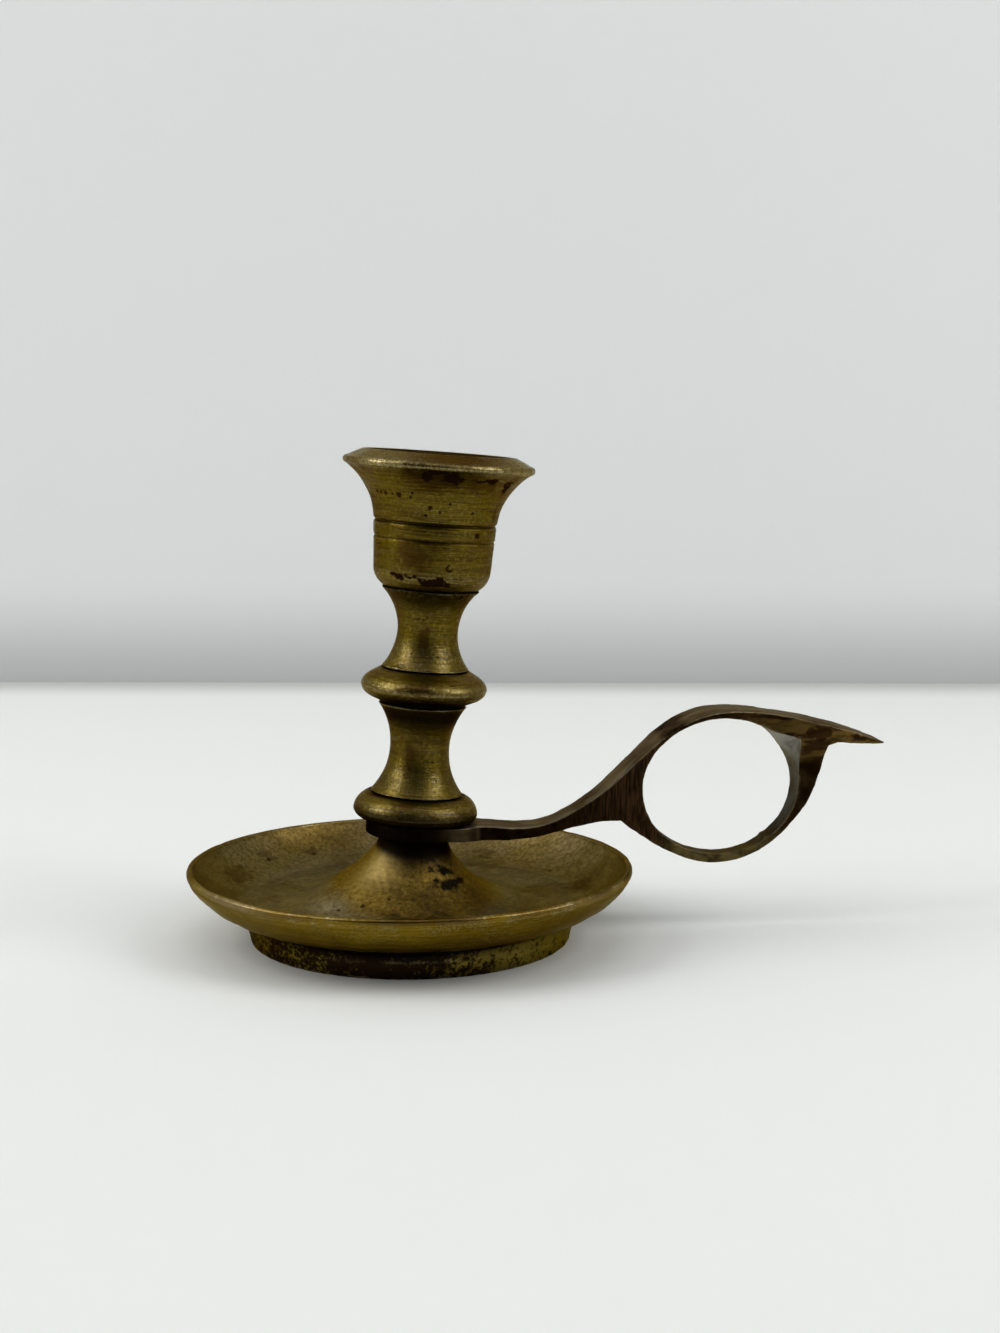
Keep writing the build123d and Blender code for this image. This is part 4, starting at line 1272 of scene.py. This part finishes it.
def pan_brass():
    """
    Pan finish: matt speckled grey-brown inside, smooth olive outside, a pitted
    dirty foot, a rubbed lip and soot on the cone, with painted highlights on the
    cone and lip, painted reflection at the outer wall's ends, and painted shade
    under the eye, on the lip and under the wall.
    """
    f = Finish("pan_finish")
    place, rings = f.object_place, f.field("turning", "Vector")
    lines = f.noise(f.stretch(rings, (0.04, 0.04, 1.6)), 1.0, 5.0, 0.7)
    broad = f.noise(place, 32.0, 2.0, 0.5)
    cloud = f.noise(place, 60.0, 4.0, 0.6)
    patch = f.noise(place, 220.0, 4.0, 0.65)
    grain = f.noise(place, 1100.0, 4.0, 0.7)
    specks = f.noise(place, 2300.0, 2.0, 0.6)
    inside, foot = f.field("inside"), f.field("foot")
    grainy = f.span(grain, 0.38, 0.62)
    drift = (cloud * 0.7 + patch * 0.3 - 0.5) * 1.8
    pebbles = patch * 0.6 + grain + (f.field("foot_light") - 0.50) * 0.24
    dish = f.layers(
        f.blend(f.span(patch * 0.35 + grain * 0.65, 0.38, 0.62), *DISH),
        (f.span(f.field("wall") + drift, 0.0, 1.0), f.blend(grainy, *DISH_WALL)),
        (f.span(f.field("cone") + drift, 0.15, 1.0) * 0.92, f.blend(grainy, *CONE)),
        (f.span(cloud, 0.45, 0.68) * 0.45, DISH_CLOUD),
        (f.span(f.field("shade"), 0.0, 0.5) * 0.55, DISH_SHADE),
        (f.span(specks, 0.62, 0.74) * 0.5, OLIVE_PALE),
        # The painted highlight on the cone's left flank
        (f.field("glow") * 0.65, CONE_PAINTED_HIGHLIGHT),
    )
    soot = f.span(grain * 1.5 + (f.field("soot") - 0.75), -0.15, 0.70)
    # The wear field holds wear and painted highlights, and the grime field holds dirt, painted shade and
    # the painted shadow under the eye
    rub = f.field("wear") * f.span(grain + patch, 0.85, 1.20)
    dirt_and_shade = f.most(f.field("grime"), f.field("hidden") * 0.45)
    f.set(Base_Color=f.layers(
        f.blend(f.span(lines, 0.35, 0.68), *PAN_OUTSIDE),
        (f.span(broad, 0.44, 0.62) * 0.45, PAN_CLOUD),
        (f.span(patch, 0.46, 0.66) * 0.50, BROWN),
        (f.span(specks + patch, 0.98, 1.16) * 0.4, PAN_FLECK),
        # Painted pale reflection at the outer wall's left and right ends
        (f.field("flank") * 0.85, PAN_FLANK),
        (foot, f.blend(f.span(pebbles, 0.76, 0.93), *PAN_FOOT)),
        (inside, dish),
        (pit_mask(f, floor_places(PAN_PITS), PAN_PITS) * 0.85, DARK_BROWN),
        (soot * f.span(specks, 0.56, 0.66, 0.97, 0.75), SOOT),
        # Painted shade on the lip between its bright stretches
        (f.field("lip") * 0.7, BROWN),
        (rub * 0.75, BRIGHT),
        (dirt_and_shade * 0.96, BLACK),
    ))
    rough = inside * 0.12 + 0.32 + foot * 0.12 + f.span(patch, 0.35, 0.7, 0.05, -0.03)
    f.set(Roughness=f.most(rough, f.most(dirt_and_shade, soot) * 0.7) - rub * 0.10)
    f.bump(grain * 0.8 + lines * 0.4 + specks * foot * 1.2, 0.00008)
    glint(f, specks, 1.0 - f.most(dirt_and_shade, soot, f.most(inside, foot) * 0.90, 0.60))
    return f.material


def handle_brass():
    """
    Handle finish: a grey-brown top painted paler as light from above, dark filed
    sides, a pale grey inside of the loop, a brown rest, rubbed edges, and an eye
    painted near black with dirt and painted shade.
    """
    f = Finish("handle_finish")
    place, tilt = f.object_place, (0, radians(-9), 0)
    cloud = f.noise(place, 90.0, 4.0, 0.6)
    patch = f.noise(place, 260.0, 4.0, 0.65)
    grain = f.noise(place, 1100.0, 4.0, 0.7)
    file_marks = f.noise(f.stretch(place, (3300.0, 500.0, 260.0), tilt), 1.0, 2.0, 0.5)
    streaks = f.noise(f.stretch(place, (110.0, 400.0, 620.0), tilt), 1.0, 4.0, 0.6)
    drawn = f.noise(f.stretch(place, (70.0, 1100.0, 70.0)), 1.0, 4.0, 0.6)
    top, along = f.field("top"), f.field("along")
    web = f.field("side") * (f.span(along, 32, 43) * f.span(along, 64, 54))
    rub = f.field("edge") * f.span(grain + patch, 0.85, 1.25)
    spots = pit_mask(f, [np.array(place) for place, size in REST_SPOTS], REST_SPOTS, 750.0)
    f.set(Base_Color=f.layers(
        f.blend(f.span(patch, 0.35, 0.68), *CAST_SKIN),
        (web, f.blend(f.span(file_marks, 0.36, 0.66), *FILED)),
        (f.field("rest") * 0.85, f.blend(f.span(streaks, 0.38, 0.58), *REST_BROWN)),
        # The top, painted paler as light from above
        (top * f.span(cloud, 0.38, 0.62, 1.0, 0.65), f.blend(f.span(drawn, 0.35, 0.70), *TOP_PAINTED_LIGHT)),
        (f.field("loop_inside") * f.span(patch, 0.40, 0.66, 0.95, 0.55), LOOP_GREY),
        (f.field("corner") * f.span(patch, 0.36, 0.56, 0.95, 0.7), CORNER_GREY),
        (f.field("sole") * f.span(patch, 0.35, 0.60, 0.3, 0.9), STRAND_OLIVE),
        # The lug's sides, painted paler where light falls on them
        (f.field("lug") * f.span(streaks, 0.3, 0.6, 0.5, 0.9), LUG_OLIVE),
        (f.span(cloud, 0.54, 0.70) * 0.4, CAST_CLOUD),
        (spots * 0.8, SPOT_BROWN),
        (rub * 0.6, EDGE_BRASS),
        # The eye, near black with dirt and painted shade
        (f.field("eye") * (0.8 - rub * 0.5), EYE_BLACK),
    ))
    f.set(Roughness=f.span(patch, 0.3, 0.7, 0.58, 0.44) - top * 0.06 - rub * 0.12)
    f.set(Specular_Tint=(0.30, 0.25, 0.16))
    f.bump(file_marks * web * 1.4 + grain * 0.6, 0.00008)
    return f.material


def plain_metal(name, dark, pale, rough_low, rough_high):
    """Small hidden parts: two tones in patches with fine grain, from object coordinates alone."""
    f = Finish(name)
    patch = f.noise(f.object_place, 400.0, 4.0, 0.65)
    f.set(Base_Color=f.blend(f.span(patch, 0.35, 0.68), dark, pale))
    f.set(Roughness=f.span(patch, 0.3, 0.7, rough_high, rough_low))
    f.bump(f.noise(f.object_place, 2200.0, 3.0, 0.6), 0.00004)
    return f.material


def coat(piece, material):
    """The piece wears only this material."""
    piece.data.materials.clear()
    piece.data.materials.append(material)


cup_wall = cup_outside(cup_section[0][:, 0], cup_section[1])
stem_wall = stem_section[0][:, 0] > STEM_SKIN
cup_places = wall_places(cup_section, cup_wall, on_stack(CUP_SEAT), CUP_PITS + (RING_MARK,))
stem_places = wall_places(stem_section, stem_wall, on_stack(STEM_SEAT), STEM_PITS)
coat(candle_cup, turned_brass("cup_finish", cup_places, CUP_PITS, ring=cup_places[-1]))
coat(stem, turned_brass("stem_finish", stem_places, STEM_PITS))
coat(drip_pan, pan_brass())
coat(handle, handle_brass())
washer, nut = frame["nodes"]["washer"], frame["nodes"]["nut"]
coat(tie_rod, plain_metal("rod_finish", (0.10, 0.085, 0.070), (0.26, 0.24, 0.22), 0.38, 0.60))
coat(washer, plain_metal("washer_finish", (0.14, 0.10, 0.04), (0.32, 0.25, 0.11), 0.36, 0.55))
coat(nut, plain_metal("nut_finish", (0.15, 0.105, 0.04), (0.36, 0.28, 0.12), 0.34, 0.52))


# Stage, light and camera

WALL_AT = 402.0
SHEET_HALF = 2600.0
CAMERA_AZIMUTH = 7.0
FLOOR_COLOUR = (0.80, 0.81, 0.785)
WALL_COLOUR = (0.80, 0.815, 0.812)
CARD_COLOUR = (0.02, 0.02, 0.02)
# The sky's colour, how much it lights, and how bright the camera sees it
SKY = (0.97, 0.99, 1.0)
SKY_LIGHT = 0.20
SKY_SEEN = 0.72


def sheet(name, corners, paint, turn):
    """
    A flat stage sheet from four corners in millimetres, turned about Z. Its
    matt finish gets the colour that paint returns.
    """
    swing = np.array(Matrix.Rotation(turn, 3, "Z"))
    piece = mesh_piece(name, np.array(corners) @ swing.T, [(0, 1, 2, 3)])
    f = Finish(name + "_finish", metallic=0.0)
    f.set(Base_Color=paint(f), Roughness=0.9, Specular_IOR_Level=0.1)
    coat(piece, f.material)
    return piece, f


def clouded(f, colour):
    """A faint change of tone."""
    return f.blend(f.noise(f.object_place, 3.0, 2.0, 0.5), colour, tuple(0.97 * c for c in colour))


def towards_wall(f, axis):
    """Metres away from the camera or up, in the camera's azimuth."""
    turned_back = f.stretch(f.object_place, (1, 1, 1), (0, 0, radians(CAMERA_AZIMUTH)))
    return f.add("ShaderNodeSeparateXYZ", axis, i0=turned_back)


def paint_floor(f):
    """
    Painted shade in a soft line in front of the wall, and dimmer far off,
    where the camera sees the floor melt into the sky.
    """
    ahead, foot = towards_wall(f, 1), WALL_AT * MM
    line = f.span(ahead, foot - 45 * MM, foot) * f.span(ahead, foot + 40 * MM, foot)
    away = f.distance(np.zeros(3))
    far = f.span(away, 0.60, 1.00) * f.add("ShaderNodeLightPath", "Is Camera Ray")
    f.set(Emission_Color=SKY, Emission_Strength=far * SKY_SEEN)
    return f.layers(
        clouded(f, FLOOR_COLOUR),
        (f.most(line, f.span(away, 0.62, 1.10)), tuple(0.68 * c for c in FLOOR_COLOUR)),
        (far, (0, 0, 0)))


def paint_wall(f):
    """Painted shade in a soft band at its foot."""
    band = f.span(towards_wall(f, 2), 46 * MM, 0)
    return f.blend(band, clouded(f, WALL_COLOUR), tuple(0.70 * c for c in WALL_COLOUR))


def one_sided(f):
    """Clear when seen from behind, so that the wall doesn't hide the object from the back."""
    behind, clear = f.add("ShaderNodeNewGeometry", "Backfacing"), f.add("ShaderNodeBsdfTransparent", 0)
    output = next(n for n in f.tree.nodes if n.type == "OUTPUT_MATERIAL")
    painted = Value(f, f.shader.outputs[0])
    f.put(output.inputs["Surface"], f.add("ShaderNodeMixShader", 0, i0=behind, i1=painted, i2=clear))


def soft_lamp(name, place, target, size, power):
    """A rectangular area lamp at a place, turned to look at a target, both in millimetres."""
    lamp = bpy.data.lights.new(name, "AREA")
    lamp.shape = "RECTANGLE"
    lamp.size, lamp.size_y = size[0] * MM, size[1] * MM
    lamp.energy = power
    way = Vector(target) - Vector(place)
    turn = way.to_track_quat("-Z", "Y").to_matrix().to_4x4()
    link(name, lamp).matrix_world = Matrix.Translation(Vector(place) * MM) @ turn


def set_sky():
    """The camera sees the sky as bright as the wall, and surfaces get only a little of it."""
    world = bpy.data.worlds.new("studio")
    bpy.context.scene.world = world
    world.use_nodes = True
    tree = world.node_tree
    sky = tree.nodes["Background"]
    sky.inputs["Color"].default_value = (*SKY, 1)
    strength = tree.nodes.new("ShaderNodeMapRange")
    strength.inputs["To Min"].default_value = SKY_LIGHT
    strength.inputs["To Max"].default_value = SKY_SEEN
    seen = tree.nodes.new("ShaderNodeLightPath").outputs["Is Camera Ray"]
    tree.links.new(seen, strength.inputs["Value"])
    tree.links.new(strength.outputs[0], sky.inputs["Strength"])


def set_camera():
    """The photograph's camera: its place, the way it looks, its roll and its focal length in pixels."""
    azimuth, pitch, roll = radians(CAMERA_AZIMUTH), radians(7.70), radians(0.08)
    place = Vector((-33.77, -440.47, 121.0)) * MM
    focal_pixels, picture_height = 2000.0, 1333.0
    forward = Vector((sin(azimuth) * cos(pitch), cos(azimuth) * cos(pitch), -sin(pitch)))
    right = Vector((cos(azimuth), -sin(azimuth), 0))
    up = right.cross(forward)
    right, up = cos(roll) * right + sin(roll) * up, cos(roll) * up - sin(roll) * right
    turn = Matrix((right, up, -forward)).transposed()
    lens = bpy.data.cameras.new("camera")
    lens.sensor_fit = "VERTICAL"
    lens.sensor_height = 36.0
    lens.lens = lens.sensor_height * focal_pixels / picture_height
    lens.clip_start, lens.clip_end = 0.01, 20.0
    camera = link("camera", lens)
    camera.matrix_world = Matrix.Translation(place) @ turn.to_4x4()
    bpy.context.scene.camera = camera


def stage_corners(near, far, low, high):
    """A sheet's corners in millimetres, from its near low edge to its far high edge."""
    edges = ((-1, near, low), (1, near, low), (1, far, high), (-1, far, high))
    return [(way * SHEET_HALF, y, z) for way, y, z in edges]


swing = radians(-CAMERA_AZIMUTH)
sheet("floor", stage_corners(-2200.0, 2600.0, 0.0, 0.0), paint_floor, swing)
wall, wall_finish = sheet("wall", stage_corners(WALL_AT, WALL_AT, 0.0, 1800.0), paint_wall, swing)
one_sided(wall_finish)

# A dark card stands for the dark side behind the camera. Only glossy surfaces see it.
card_corners = [(420.0, -210.0, 0), (420.0, 210.0, 0), (420.0, 210.0, 600.0), (420.0, -210.0, 600.0)]
card, _ = sheet("dark_card", card_corners, lambda f: clouded(f, CARD_COLOUR), radians(-108.0))
card.visible_camera = card.visible_diffuse = card.visible_shadow = card.visible_transmission = False

soft_lamp("left_window", (-1140, -112, 879), (0, 0, 60), (832, 1066), 10.3)
soft_lamp("right_window", (801, -363, 690), (0, 0, 60), (580, 780), 5.3)
soft_lamp("ceiling", (-150, -50, 1350), (0, 0, 0), (1600, 1400), 5.6)
set_sky()
set_camera()
bpy.context.scene.view_settings.view_transform = "Standard"
